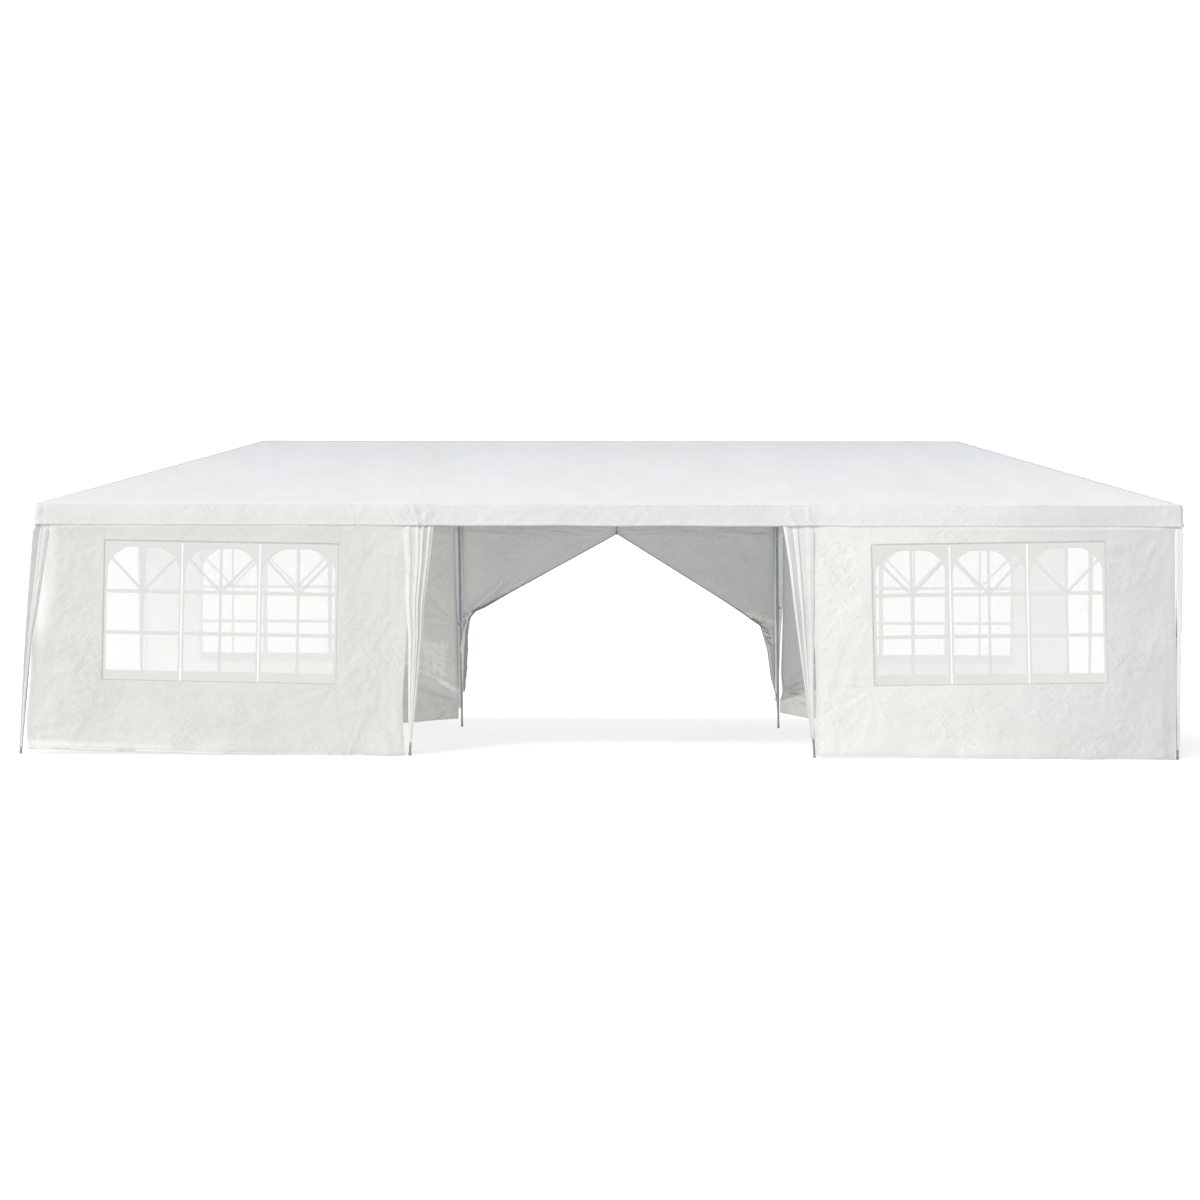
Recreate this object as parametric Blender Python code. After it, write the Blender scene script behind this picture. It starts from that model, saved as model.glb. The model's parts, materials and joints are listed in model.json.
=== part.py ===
"""A 9 x 3 m party marquee with a hipped roof, four window walls and a tied-back rear door.

Metres, +Z up. X runs along the marquee, the front faces -Y, and the ground is z = 0.
The steel frame is a row of tubes pushed into welded connectors. The cover and the
walls are drawn as sheets CLOTH thick that hang on it.
"""

import math

import bmesh
import bpy
from mathutils import Matrix, Vector

# Driving dimensions
LENGTH = 9.0
WIDTH = 3.0
EAVE_HEIGHT = 1.98
RIDGE_HEIGHT = 2.588
VALANCE_DEPTH = 0.1665
BAYS = 3
TUBE_RADIUS = 0.0125
LOWER_TUBE_RADIUS = 0.0095
TUBE_JOINT_HEIGHT = 0.98
TUBE_OVERLAP = 0.05
ARM_RADIUS = 0.014
HUB_RADIUS = 0.016
ARM_LENGTH = 0.09
ARM_START = 0.0012
CAP_RADIUS = 0.0118
CAP_HEIGHT = 0.026
CAP_SEAT = 0.009
CLOTH = 0.003
FILM = 0.002
FRAME_INSET = 0.036
GAP = 0.0003
ROUND_SIDES = 16
SHARP_ANGLE = math.radians(35)

# How far each leg's head stands off its bay line, and its foot off its head, along X
HEAD_SHIFT = {
    "front_left": 0.0,
    "front_mid_left": 0.02,
    "front_mid_right": 0.028,
    "front_right": 0.0,
    "rear_left": 0.0,
    "rear_mid_left": 0.036,
    "rear_mid_right": 0.052,
    "rear_right": 0.0,
}
FOOT_LEAN = {
    "front_left": -0.172,
    "front_mid_left": -0.069,
    "front_mid_right": 0.131,
    "front_right": 0.01,
    "rear_left": 0.0,
    "rear_mid_left": 0.034,
    "rear_mid_right": 0.023,
    "rear_right": 0.0,
}

# Cover strips that hang down each leg
STRIP_WIDTH = 0.125
STRIP_TIP_WIDTH = 0.012
STRIP_TIP_HEIGHT = 0.1

# Sidewalls, and each window's middle along X and its sill
WALL_TOP = 1.9
WALL_BOTTOM = {"front": 0.02, "rear": 0.06}
WALL_EDGE_GAP = 0.045
WINDOW_WIDTH = 1.85
WINDOW_HEIGHT = 1.096
WINDOW_PLACES = {
    "front_left": (-3.026, 0.594),
    "front_right": (2.975, 0.59),
    "rear_left": (-2.985, 0.648),
    "rear_right": (2.83, 0.648),
}
FILM_LAP = 0.02

# Rear door, whose two halves are drawn aside to the middle legs. Its free edge runs from the
# apex through points at (distance from the leg, height), and the folds hang as a tail.
DOOR_APEX_X = 0.035
DOOR_APEX_HEIGHT = 1.822
DOOR_EDGE_GAP = 0.024
DOOR_FREE_EDGE = {
    "left": ((0.236, 1.138), (0.09, 1.04), (0.073, 0.913), (0.046, 0.451), (0.032, 0.34)),
    "right": ((0.3, 1.063), (0.159, 0.965), (0.095, 0.741), (0.063, 0.472), (0.032, 0.33)),
}
DOOR_TAIL = {
    "left": {"radius": 0.024, "top": (0.056, 0.96), "end": (0.042, 0.35)},
    "right": {"radius": 0.018, "top": (0.08, 0.86), "end": (0.034, 0.27)},
}

# Values that follow
HALF_LENGTH = LENGTH / 2
HALF_WIDTH = WIDTH / 2
RIDGE_HALF = HALF_LENGTH - HALF_WIDTH
ROOF_RISE = (RIDGE_HEIGHT - EAVE_HEIGHT) / HALF_WIDTH
ROOF_PITCH = math.atan(ROOF_RISE)
VALANCE_BOTTOM = EAVE_HEIGHT - VALANCE_DEPTH
FRAME_X = HALF_LENGTH - FRAME_INSET
FRAME_Y = HALF_WIDTH - FRAME_INSET
BAY = 2 * FRAME_X / BAYS
CLOTH_DROP = CLOTH / math.cos(ROOF_PITCH)
FRAME_DROP = (HUB_RADIUS + GAP + CLOTH) / math.cos(ROOF_PITCH)

RIDGE_SEAM = GAP / 2
HIP_SEAM = GAP * 0.75
SAME_PLACE = 1e-6

SIDES = {"front": -1, "rear": 1}
ENDS = {"left": -1, "right": 1}
BAY_LINES = {"left": -1.5, "mid_left": -0.5, "mid_right": 0.5, "right": 1.5}
CENTRE_NAME = "marquee_centre"


def clear_scene():
    for old in list(bpy.data.objects):
        bpy.data.objects.remove(old, do_unlink=True)


def place(piece):
    """Puts a piece under the empty that centres the marquee's whole box on the origin."""
    centre = bpy.data.objects.get(CENTRE_NAME)
    if centre is None:
        centre = bpy.data.objects.new(CENTRE_NAME, None)
        leans = leg_shift("front_left", STRIP_TIP_HEIGHT), leg_shift("front_right", STRIP_TIP_HEIGHT)
        centre.location.x = -sum(leans) / 2
        bpy.context.scene.collection.objects.link(centre)
    piece.parent = centre
    bpy.context.scene.collection.objects.link(piece)


def material(name, colour, roughness, metallic=0.0, alpha=1.0):
    made = bpy.data.materials.new(name)
    made.use_nodes = True
    shader = made.node_tree.nodes["Principled BSDF"]
    shader.inputs["Base Color"].default_value = (*colour, 1.0)
    shader.inputs["Roughness"].default_value = roughness
    shader.inputs["Metallic"].default_value = metallic
    shader.inputs["Alpha"].default_value = alpha
    return made


def add_object(name, mesh, finish, smooth=False):
    if smooth:
        mesh.shade_smooth()
        mesh.set_sharp_from_angle(angle=SHARP_ANGLE)
    piece = bpy.data.objects.new(name, mesh)
    piece.data.materials.append(finish)
    place(piece)
    return piece


def roof_height(x, y):
    """Height of the cover's outer face over a plan point."""
    inward = min(HALF_WIDTH - abs(y), HALF_LENGTH - abs(x))
    return EAVE_HEIGHT + ROOF_RISE * inward


def under_roof(x, y):
    """The frame's centre line below a plan point of the cover."""
    return Vector((x, y, roof_height(x, y) - FRAME_DROP))


def leg_head(leg):
    side, line = leg.split("_", 1)
    x = BAY_LINES[line] * BAY + HEAD_SHIFT[leg]
    return under_roof(x, SIDES[side] * FRAME_Y)


def leg_foot(leg):
    head = leg_head(leg)
    return Vector((head.x + FOOT_LEAN[leg], head.y, 0.0))


def leg_shift(leg, height):
    """How far the leg has leaned along X from its head, at a height."""
    return FOOT_LEAN[leg] * (1 - height / leg_head(leg).z)


def leg_x(leg, height):
    return leg_head(leg).x + leg_shift(leg, height)


def add_round(bm, start, end, radius):
    """A closed round bar between two points."""
    run = end - start
    turn = run.to_track_quat("Z", "Y").to_matrix().to_4x4()
    pose = Matrix.Translation((start + end) / 2) @ turn
    bmesh.ops.create_cone(
        bm,
        cap_ends=True,
        segments=ROUND_SIDES,
        radius1=radius,
        radius2=radius,
        depth=run.length,
        matrix=pose,
    )


def round_mesh(name, start, end, radius):
    bm = bmesh.new()
    add_round(bm, start, end, radius)
    mesh = bpy.data.meshes.new(name)
    bm.to_mesh(mesh)
    bm.free()
    return mesh


def helper(name, mesh):
    """A shape that a union takes in, and that isn't a piece by itself."""
    piece = bpy.data.objects.new(name, mesh)
    piece.hide_render = True
    piece.display_type = "WIRE"
    place(piece)
    return piece


def join_shapes(base, others):
    for other in others:
        union = base.modifiers.new("join_" + other.name, "BOOLEAN")
        union.operation = "UNION"
        union.solver = "EXACT"
        union.object = other


def tube(name, start, end, finish):
    """A tube between two connectors, whose arms take up both its ends."""
    run = (end - start).normalized()
    inset = run * (ARM_LENGTH + GAP)
    mesh = round_mesh(name, start + inset, end - inset, TUBE_RADIUS)
    return add_object(name, mesh, finish, smooth=True)


def connector(name, centre, towards, finish):
    """A welded hub with one arm for each tube that it holds."""
    bm = bmesh.new()
    bmesh.ops.create_icosphere(
        bm, subdivisions=2, radius=HUB_RADIUS, matrix=Matrix.Translation(centre)
    )
    mesh = bpy.data.meshes.new(name)
    bm.to_mesh(mesh)
    bm.free()
    hub = add_object(name, mesh, finish, smooth=True)
    arms = []
    for number, target in enumerate(towards):
        run = (target - centre).normalized()
        arm = round_mesh(name, centre + run * ARM_START, centre + run * ARM_LENGTH, ARM_RADIUS)
        arms.append(helper(f"{name}_arm_{number}", arm))
    join_shapes(hub, arms)
    return hub


def leg(name, finish):
    """An upper tube, a thinner lower tube that slides into it, and a level foot cap."""
    head = leg_head(name)
    foot = leg_foot(name)
    run = (foot - head).normalized()
    joint = Vector((leg_x(name, TUBE_JOINT_HEIGHT), head.y, TUBE_JOINT_HEIGHT))
    upper = round_mesh(name, head + run * (ARM_LENGTH + GAP), joint, TUBE_RADIUS)
    shaft = add_object("leg_" + name, upper, finish, smooth=True)
    lower = round_mesh(name, joint - run * TUBE_OVERLAP, foot - run * CAP_SEAT, LOWER_TUBE_RADIUS)
    cap_base = Vector((leg_x(name, CAP_HEIGHT / 2), foot.y, 0.0))
    cap_top = cap_base + Vector((0, 0, CAP_HEIGHT))
    cap = round_mesh(name, cap_base, cap_top, CAP_RADIUS)
    join_shapes(shaft, [helper(f"lower_tube_{name}", lower), helper(f"foot_cap_{name}", cap)])
    return shaft


def sheet(name, points, faces, through, finish):
    """A sheet drawn by its outer face and carried through its thickness by a vector."""
    bm = bmesh.new()
    corners = [bm.verts.new(point) for point in points]
    outer = [bm.faces.new([corners[index] for index in face]) for face in faces]
    grown = bmesh.ops.extrude_face_region(bm, geom=outer, use_keep_orig=True)
    inner = [part for part in grown["geom"] if isinstance(part, bmesh.types.BMVert)]
    bmesh.ops.translate(bm, vec=Vector(through), verts=inner)
    bmesh.ops.recalc_face_normals(bm, faces=bm.faces)
    mesh = bpy.data.meshes.new(name)
    bm.to_mesh(mesh)
    bm.free()
    return add_object(name, mesh, finish)


def roof_slopes(finish):
    """Four panels that meet along the ridge and the hips."""
    for side, sign in SIDES.items():
        plan = [
            (-HALF_LENGTH + HIP_SEAM, sign * HALF_WIDTH),
            (HALF_LENGTH - HIP_SEAM, sign * HALF_WIDTH),
            (RIDGE_HALF - HIP_SEAM, sign * RIDGE_SEAM),
            (-RIDGE_HALF + HIP_SEAM, sign * RIDGE_SEAM),
        ]
        top = [(x, y, EAVE_HEIGHT + ROOF_RISE * (HALF_WIDTH - abs(y))) for x, y in plan]
        sheet(f"roof_{side}", top, [(0, 1, 2, 3)], (0, 0, -CLOTH_DROP), finish)
    for side, sign in ENDS.items():
        plan = [
            (sign * HALF_LENGTH, -HALF_WIDTH + HIP_SEAM),
            (sign * HALF_LENGTH, HALF_WIDTH - HIP_SEAM),
            (sign * (RIDGE_HALF + HIP_SEAM), 0.0),
        ]
        top = [(x, y, EAVE_HEIGHT + ROOF_RISE * (HALF_LENGTH - abs(x))) for x, y in plan]
        sheet(f"roof_{side}", top, [(0, 1, 2)], (0, 0, -CLOTH_DROP), finish)


def comb(along, strips, lowest):
    """Valance with strips hanging from its lower edge, as (place along, height) points and faces.

    along is the valance's two ends. Each strip is its two edges at the valance and, at its
    tip, its two edges again. Both lists run the same way.
    """
    top = EAVE_HEIGHT - CLOTH_DROP - GAP
    stops = [along[0]]
    for strip in strips:
        stops += [strip[0], strip[1]]
    stops.append(along[1])
    stops = [stop for n, stop in enumerate(stops) if n == 0 or stop > stops[n - 1] + SAME_PLACE]
    points = [(stop, top) for stop in stops] + [(stop, VALANCE_BOTTOM) for stop in stops]
    count = len(stops)
    faces = [(n, n + 1, count + n + 1, count + n) for n in range(count - 1)]
    for strip in strips:
        first = min(range(count), key=lambda n: abs(stops[n] - strip[0]))
        points += [(strip[2], lowest), (strip[3], lowest)]
        faces.append((count + first, count + first + 1, len(points) - 1, len(points) - 2))
    return points, faces


def long_valance(side, finish):
    """Valance of a long side, with a strip that follows each leg's lean."""
    sign = SIDES[side]
    strips = []
    for line in BAY_LINES:
        name = f"{side}_{line}"
        drift = leg_shift(name, STRIP_TIP_HEIGHT)
        if line == "left":
            left, right = -HALF_LENGTH, -HALF_LENGTH + STRIP_WIDTH
            tip = left + drift
            strips.append((left, right, tip, tip + STRIP_TIP_WIDTH))
        elif line == "right":
            left, right = HALF_LENGTH - STRIP_WIDTH, HALF_LENGTH
            tip = right + drift
            strips.append((left, right, tip - STRIP_TIP_WIDTH, tip))
        else:
            middle = leg_head(name).x
            tip = middle + drift
            top_edges = middle - STRIP_WIDTH, middle + STRIP_WIDTH
            tip_edges = tip - STRIP_TIP_WIDTH, tip + STRIP_TIP_WIDTH
            strips.append((*top_edges, *tip_edges))
    flat, faces = comb((-HALF_LENGTH, HALF_LENGTH), strips, STRIP_TIP_HEIGHT)
    points = [(x, sign * HALF_WIDTH, z) for x, z in flat]
    sheet(f"valance_{side}", points, faces, (0, -sign * CLOTH, 0), finish)


def end_valance(side, sign, finish):
    """Valance of an end, with a strip at each corner leg."""
    reach = HALF_WIDTH - CLOTH - GAP
    strips = [
        (-reach, -reach + STRIP_WIDTH, -reach, -reach + STRIP_TIP_WIDTH),
        (reach - STRIP_WIDTH, reach, reach - STRIP_TIP_WIDTH, reach),
    ]
    flat, faces = comb((-reach, reach), strips, STRIP_TIP_HEIGHT)
    points = []
    for y, z in flat:
        corner = f"front_{side}" if y < 0 else f"rear_{side}"
        lean = leg_shift(corner, z) if z == STRIP_TIP_HEIGHT else 0.0
        points.append((sign * HALF_LENGTH + lean, y, z))
    sheet(f"valance_{side}", points, faces, (-sign * CLOTH, 0, 0), finish)


def wall_face(side):
    """Where a wall's outer face lies, close behind the valance."""
    return SIDES[side] * (HALF_WIDTH - CLOTH - GAP)


def window_wall(side, part, cloth, film):
    """A sidewall between two legs, its window opening, and the clear film over it."""
    left, right = {
        "left": (f"{side}_left", f"{side}_mid_left"),
        "right": (f"{side}_mid_right", f"{side}_right"),
    }[part]
    sign = SIDES[side]
    face = wall_face(side)
    foot = WALL_BOTTOM[side]
    outline = [
        (leg_x(left, WALL_TOP) + WALL_EDGE_GAP, WALL_TOP),
        (leg_x(right, WALL_TOP) - WALL_EDGE_GAP, WALL_TOP),
        (leg_x(right, foot) - WALL_EDGE_GAP, foot),
        (leg_x(left, foot) + WALL_EDGE_GAP, foot),
    ]
    middle, sill = WINDOW_PLACES[f"{side}_{part}"]
    half = WINDOW_WIDTH / 2
    window_top = sill + WINDOW_HEIGHT
    hole = [
        (middle - half, window_top),
        (middle + half, window_top),
        (middle + half, sill),
        (middle - half, sill),
    ]
    points = [(x, face, z) for x, z in outline + hole]
    faces = [(n, (n + 1) % 4, 4 + (n + 1) % 4, 4 + n) for n in range(4)]
    sheet(f"wall_{side}_{part}", points, faces, (0, -sign * CLOTH, 0), cloth)
    lap = half + FILM_LAP
    low = sill - FILM_LAP
    high = window_top + FILM_LAP
    behind = face - sign * (CLOTH + GAP)
    pane = [
        (middle - lap, behind, high),
        (middle + lap, behind, high),
        (middle + lap, behind, low),
        (middle - lap, behind, low),
    ]
    sheet(f"window_film_{side}_{part}", pane, [(0, 1, 2, 3)], (0, -sign * FILM, 0), film)


def door_half(part, sign, cloth):
    """One half of the rear door, drawn aside to its leg, with its folds bunched into a tail."""
    name = f"rear_mid_{part}"
    face = wall_face("rear")
    tail = DOOR_TAIL[part]

    def beside_leg(distance, height):
        return leg_x(name, height) - sign * distance

    free_edge = DOOR_FREE_EDGE[part]
    foot = free_edge[-1][1]
    edge = [
        (beside_leg(DOOR_EDGE_GAP, WALL_TOP), WALL_TOP),
        (DOOR_APEX_X + sign * GAP, WALL_TOP),
        (DOOR_APEX_X + sign * GAP, DOOR_APEX_HEIGHT),
    ]
    edge += [(beside_leg(reach, height), height) for reach, height in free_edge]
    edge.append((beside_leg(DOOR_EDGE_GAP, foot), foot))
    points = [(x, face, z) for x, z in edge]
    half = sheet(f"door_{part}", points, [tuple(range(len(points)))], (0, -CLOTH, 0), cloth)
    inward = face - tail["radius"] - GAP
    start = Vector((beside_leg(*tail["top"]), inward, tail["top"][1]))
    end = Vector((beside_leg(*tail["end"]), inward, tail["end"][1]))
    bunch = helper(f"door_tail_{part}", round_mesh(name, start, end, tail["radius"]))
    join_shapes(half, [bunch])


def steel_frame(steel, fittings):
    legs = [f"{side}_{line}" for side in SIDES for line in BAY_LINES]
    heads = {name: leg_head(name) for name in legs}
    ridge_z = RIDGE_HEIGHT - FRAME_DROP
    ridge_end = {part: Vector((way * RIDGE_HALF, 0, ridge_z)) for part, way in ENDS.items()}
    ridge_mid = {f"mid_{part}": Vector((way * BAY / 2, 0, ridge_z)) for part, way in ENDS.items()}
    for name in legs:
        leg(name, steel)

    lines = list(BAY_LINES)
    for side in SIDES:
        for part, first, last in zip(("left", "middle", "right"), lines, lines[1:]):
            start, end = heads[f"{side}_{first}"], heads[f"{side}_{last}"]
            tube(f"eave_rail_{side}_{part}", start, end, steel)
        for part, peak in ridge_end.items():
            tube(f"hip_rafter_{side}_{part}", heads[f"{side}_{part}"], peak, steel)
        for part, peak in ridge_mid.items():
            tube(f"rafter_{side}_{part}", heads[f"{side}_{part}"], peak, steel)
    for part in ridge_end:
        tube(f"eave_rail_{part}_end", heads[f"front_{part}"], heads[f"rear_{part}"], steel)

    for side, other in (("front", "rear"), ("rear", "front")):
        for n, line in enumerate(lines):
            name = f"{side}_{line}"
            targets = [leg_foot(name)]
            targets += [heads[f"{side}_{near}"] for near in lines[max(n - 1, 0) : n + 2] if near != line]
            if line in ridge_end:
                targets += [heads[f"{other}_{line}"], ridge_end[line]]
                connector(f"corner_connector_{name}", heads[name], targets, fittings)
            else:
                targets.append(ridge_mid[line])
                connector(f"eave_connector_{name}", heads[name], targets, fittings)

    for part, peak in ridge_end.items():
        targets = [heads[f"front_{part}"], heads[f"rear_{part}"], Vector((0, 0, ridge_z))]
        connector(f"ridge_end_connector_{part}", peak, targets, fittings)

    inset = Vector((ARM_LENGTH + GAP, 0, 0))
    pole_ends = ridge_end["left"] + inset, ridge_end["right"] - inset
    pole = add_object("ridge_pole", round_mesh("ridge_pole", *pole_ends, TUBE_RADIUS), steel, smooth=True)
    arms = []
    reach = Vector((ARM_LENGTH, 0, 0))
    for part, centre in ridge_mid.items():
        sleeve = round_mesh(part, centre - reach, centre + reach, ARM_RADIUS)
        arms.append(helper(f"ridge_sleeve_{part}", sleeve))
        for side in SIDES:
            run = (heads[f"{side}_{part}"] - centre).normalized()
            arm = round_mesh(part, centre, centre + run * ARM_LENGTH, ARM_RADIUS)
            arms.append(helper(f"ridge_arm_{side}_{part}", arm))
    join_shapes(pole, arms)


def build():
    clear_scene()
    steel = material("steel_tube", (0.42, 0.44, 0.47), 0.42, metallic=0.85)
    fittings = material("steel_connector", (0.5, 0.52, 0.54), 0.4, metallic=0.85)
    cover = material("cover_cloth", (0.86, 0.88, 0.88), 0.6)
    wall = material("wall_cloth", (0.8, 0.8, 0.78), 0.65)
    film = material("window_film", (0.93, 0.95, 0.95), 0.12, alpha=0.3)

    steel_frame(steel, fittings)
    roof_slopes(cover)
    for side in SIDES:
        long_valance(side, cover)
        for part in ("left", "right"):
            window_wall(side, part, wall, film)
    for side, sign in ENDS.items():
        end_valance(side, sign, cover)
        door_half(side, sign, wall)


build()
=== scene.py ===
"""Looks of the 9 x 3 m party marquee: cloth, windows, ties, frame finish, light and camera.

Metres, +Z up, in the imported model's frame. The front faces -Y. Values named as an x are from
the marquee's middle.
"""

import json
import math

import bmesh
import bpy
import numpy as np
from mathutils import Matrix, Vector


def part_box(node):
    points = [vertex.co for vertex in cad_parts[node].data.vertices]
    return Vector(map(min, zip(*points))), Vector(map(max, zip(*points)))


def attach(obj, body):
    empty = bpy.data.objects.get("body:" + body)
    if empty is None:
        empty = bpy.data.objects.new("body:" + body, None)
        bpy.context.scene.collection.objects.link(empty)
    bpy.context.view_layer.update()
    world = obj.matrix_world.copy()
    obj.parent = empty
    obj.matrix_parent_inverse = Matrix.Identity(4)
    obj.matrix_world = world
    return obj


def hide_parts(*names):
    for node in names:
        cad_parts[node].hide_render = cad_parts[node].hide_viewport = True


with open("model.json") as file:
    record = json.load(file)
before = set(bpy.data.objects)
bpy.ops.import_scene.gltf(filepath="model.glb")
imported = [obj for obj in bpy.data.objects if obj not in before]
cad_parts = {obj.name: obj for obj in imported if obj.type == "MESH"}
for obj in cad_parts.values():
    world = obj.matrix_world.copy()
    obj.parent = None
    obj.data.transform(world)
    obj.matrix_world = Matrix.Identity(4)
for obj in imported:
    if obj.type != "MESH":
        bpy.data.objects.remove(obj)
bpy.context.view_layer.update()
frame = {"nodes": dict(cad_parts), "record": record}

# The marquee's driving dimensions, as in the CAD source
HALF_LENGTH = 4.5
HALF_WIDTH = 1.5
EAVE_HEIGHT = 1.98
RIDGE_HEIGHT = 2.588
VALANCE_BOTTOM = 1.8135
RIDGE_HALF = HALF_LENGTH - HALF_WIDTH
ROOF_RISE = (RIDGE_HEIGHT - EAVE_HEIGHT) / HALF_WIDTH
TUBE_RADIUS = 0.0125
LOWER_TUBE_RADIUS = 0.0095
TUBE_JOINT_HEIGHT = 0.98
RIM_TOP = 0.012
RIM_THICKNESS = 0.0008
BUTTON_HEIGHTS = (1.02, 1.27)
BUTTON_RADIUS = 0.0035
BUTTON_REACH = 0.003
CENTRE_X = sum(corner[0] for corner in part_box("roof_front")) / 2

# The cover sits a little to the left on its frame
COVER_SHIFT = -0.008

# Cloth of the dressed marquee
CLOTH = 0.0012
FILM = 0.0006
HEM_WIDTH = 0.024
HEM_RAISE = 0.0008
HEM_GAP = 0.002
SEAM_LIFT = CLOTH / 2 - 0.0001
UPPER_SEAM_GAP = 0.01
UPPER_SEAM_WIDTH = 0.012
LOWER_SEAM_WIDTH = 0.008
STITCH_SHADOW_WIDTH = 0.0035
STITCH_SHADOW_RAISE = 0.0005
TAPE_WIDTH = 0.009
TAPE_LIFT = -0.0004
TAPE_THICKNESS = 0.0012
TAPE_END_WIDTH = 0.01
TAPE_END = (-0.006, 0.008)
ROOF_CELLS = 90
ROOF_SAG = 0.013
VALANCE_STEP = 0.016
VALANCE_ROWS = 14
VALANCE_CORNER = 0.012
MIDDLE_BAY_REACH = 1.7
GATHER_REACH = 0.14
WELT_WIDTHS = {"ridge": 0.02, "hip": 0.018}
WELT_LIFT = -0.0002
WELT_THICKNESS = 0.001

# Wrinkles are fields that add up: ripples and creases, each by depth, wave and random draw, and
# drags, each by depth, slant, wave and draw. Folds that fan out from a point have depth and reach.
ROOF_RIPPLES = ((0.003, 0.6, 11), (0.0012, 0.2, 12))
ROOF_DRAGS = ((0.0025, 0.5, 0.4, 13), (0.0025, -0.6, 0.45, 15))
LEG_HEAD_FAN = (0.006, 0.3)
RIDGE_END_FAN = (0.004, 0.35)
WALL_RIPPLES = ((0.0008, 0.07, 5),)
WALL_CREASES = ((0.004, 0.5, 3), (0.004, 0.2, 4), (0.0028, 0.07, 14))
BESIDE_DRAGS = ((0.007, 0.5, 0.2, 6), (0.004, 0.4, 0.1, 7))
UNDER_DRAGS = ((0.006, -1.0, 0.24, 8), (0.004, -0.9, 0.11, 9))
WINDOW_SILL_FAN = (0.004, 0.25)
WINDOW_TOP_FAN = (0.003, 0.2)
PATCH_RIPPLES = ((0.004, 0.06, 16),)
PATCH_CREASES = ((0.006, 0.06, 17),)
DOOR_RIPPLES = ((0.014, 1.1, 0), (0.005, 0.3, 1))
DOOR_FINE_CREASES = ((0.004, 0.35, 2), (0.0025, 0.14, 3))
DOOR_TIE_FAN = (0.014, 0.22)

# The front valance's creases: x at its top and at its bottom, and depth
VALANCE_CREASES = (
    (-1.51, -1.46, 0.014),
    (-1.4, -1.42, 0.007),
    (1.44, 1.467, 0.012),
    (1.585, 1.616, 0.008),
)

# Tones: a wall's finish follows x, and these places in its stops stand for painted light and
# shade. The last is the painted pale bluish light of the rear middle legs' strips.
FOOT_SHADOW = -7.0
SUNLIT = -6.0
SUNLIT_EDGE = 1.6
DRAWN_IN_SHADE = -7.0
CRUMPLED_HIGHLIGHT = -2.6
SUNLIT_FOLD = 2.02
PAINTED_SUNLIGHT = 6.0
CREASE_SHADE = 11.0
PAINTED_DEEP_SHADE = 14.0
PAINTED_BLUE_LIGHT = 2.0

# Sidewalls: (height, x) places of each edge, the window's middle, sill and shear, how far its
# panel hangs low and leans, (x, height) places of the lower edge, depths of the pleats at both
# edges, and folds that fan out from an edge: height, depth and reach
WALL_STEP = 0.016
WALL_TOP = 1.9
WALL_FACE = 1.4962
WALLS = {
    "front_left": {
        "left": (
            (0.0, -4.56), (0.045, -4.565), (0.083, -4.576), (0.31, -4.574), (0.41, -4.561), (0.5, -4.555),
            (0.63, -4.542), (0.82, -4.54), (1.0, -4.53), (1.25, -4.5), (1.9, -4.46),
        ),
        "right": (
            (0, -1.572), (0.196, -1.587), (0.449, -1.592), (0.764, -1.574), (0.95, -1.56), (1.9, -1.52),
        ),
        "window": (-3.026, 0.594, -0.022),
        "hang": (-0.013, -0.014),
        "foot": ((-4.58, 0.042), (-4.0, 0.027), (-3.4, 0.016), (-2.6, 0.007), (-1.57, 0.004)),
        "pleats": (0.010, 0.006),
        "fans": (("left", 0.09, 0.010, 0.2), ("right", 0.08, 0.013, 0.2), ("right", 1.8, 0.008, 0.35)),
        "legs": ("front_left", "front_mid_left"),
        "tie_heights": (0.09, 0.97, 1.76),
    },
    "front_right": {
        "left": ((0, 1.65), (0.15, 1.65), (0.51, 1.657), (0.87, 1.643), (1.0, 1.62), (1.9, 1.57)),
        "right": ((0, 4.446), (0.06, 4.446), (0.34, 4.452), (0.85, 4.452), (1.09, 4.443), (1.9, 4.43)),
        "window": (2.987, 0.59, 0.028),
        "hang": (-0.003, 0.015),
        "foot": ((1.64, 0.024), (2.4, 0.02), (3.0, 0.008), (4.45, 0.004)),
        "pleats": (0.003, 0.008),
        "fans": (("left", 0.27, 0.006, 0.12), ("right", 0.06, 0.014, 0.16), ("right", 1.82, 0.010, 0.4)),
        "legs": ("front_mid_right", "front_right"),
        "tie_heights": (0.15, 0.97, 1.76),
    },
    "rear_left": {
        "left": ((0, -4.445), (1.9, -4.445)),
        "right": (
            (0.0, -1.46), (0.07, -1.46), (0.2, -1.453), (0.38, -1.456), (0.96, -1.467), (1.4, -1.485),
            (1.9, -1.5),
        ),
        "window": (-2.985, 0.615, 0.0),
        "hang": (0.0, 0.0),
        "foot": ((-4.4, 0.02), (-2.6, 0.02), (-1.87, 0.035), (-1.46, 0.07)),
        "pleats": (0.004, 0.005),
        "fans": (("right", 0.18, 0.022, 0.28), ("right", 0.97, 0.010, 0.2), ("right", 1.79, 0.016, 0.3)),
        "legs": ("rear_left", "rear_mid_left"),
        "tie_heights": (0.18, 0.97, 1.79),
    },
    "rear_right": {
        "left": (
            (0.0, 1.584), (0.14, 1.584), (0.267, 1.604), (0.45, 1.59), (0.6, 1.59), (0.94, 1.599),
            (1.09, 1.602), (1.9, 1.605),
        ),
        "right": ((0, 4.265), (1.9, 4.265)),
        "window": (2.83, 0.615, 0.0),
        "hang": (0.0, 0.0),
        "foot": ((1.58, 0.14), (1.84, 0.089), (2.4, 0.06), (4.4, 0.03)),
        "pleats": (0.006, 0.005),
        "fans": (("left", 0.267, 0.024, 0.2), ("left", 1.13, 0.008, 0.2), ("left", 1.78, 0.010, 0.3)),
        "legs": ("rear_mid_right", "rear_right"),
        "tie_heights": (0.265, 1.13, 1.78),
    },
}

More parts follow.
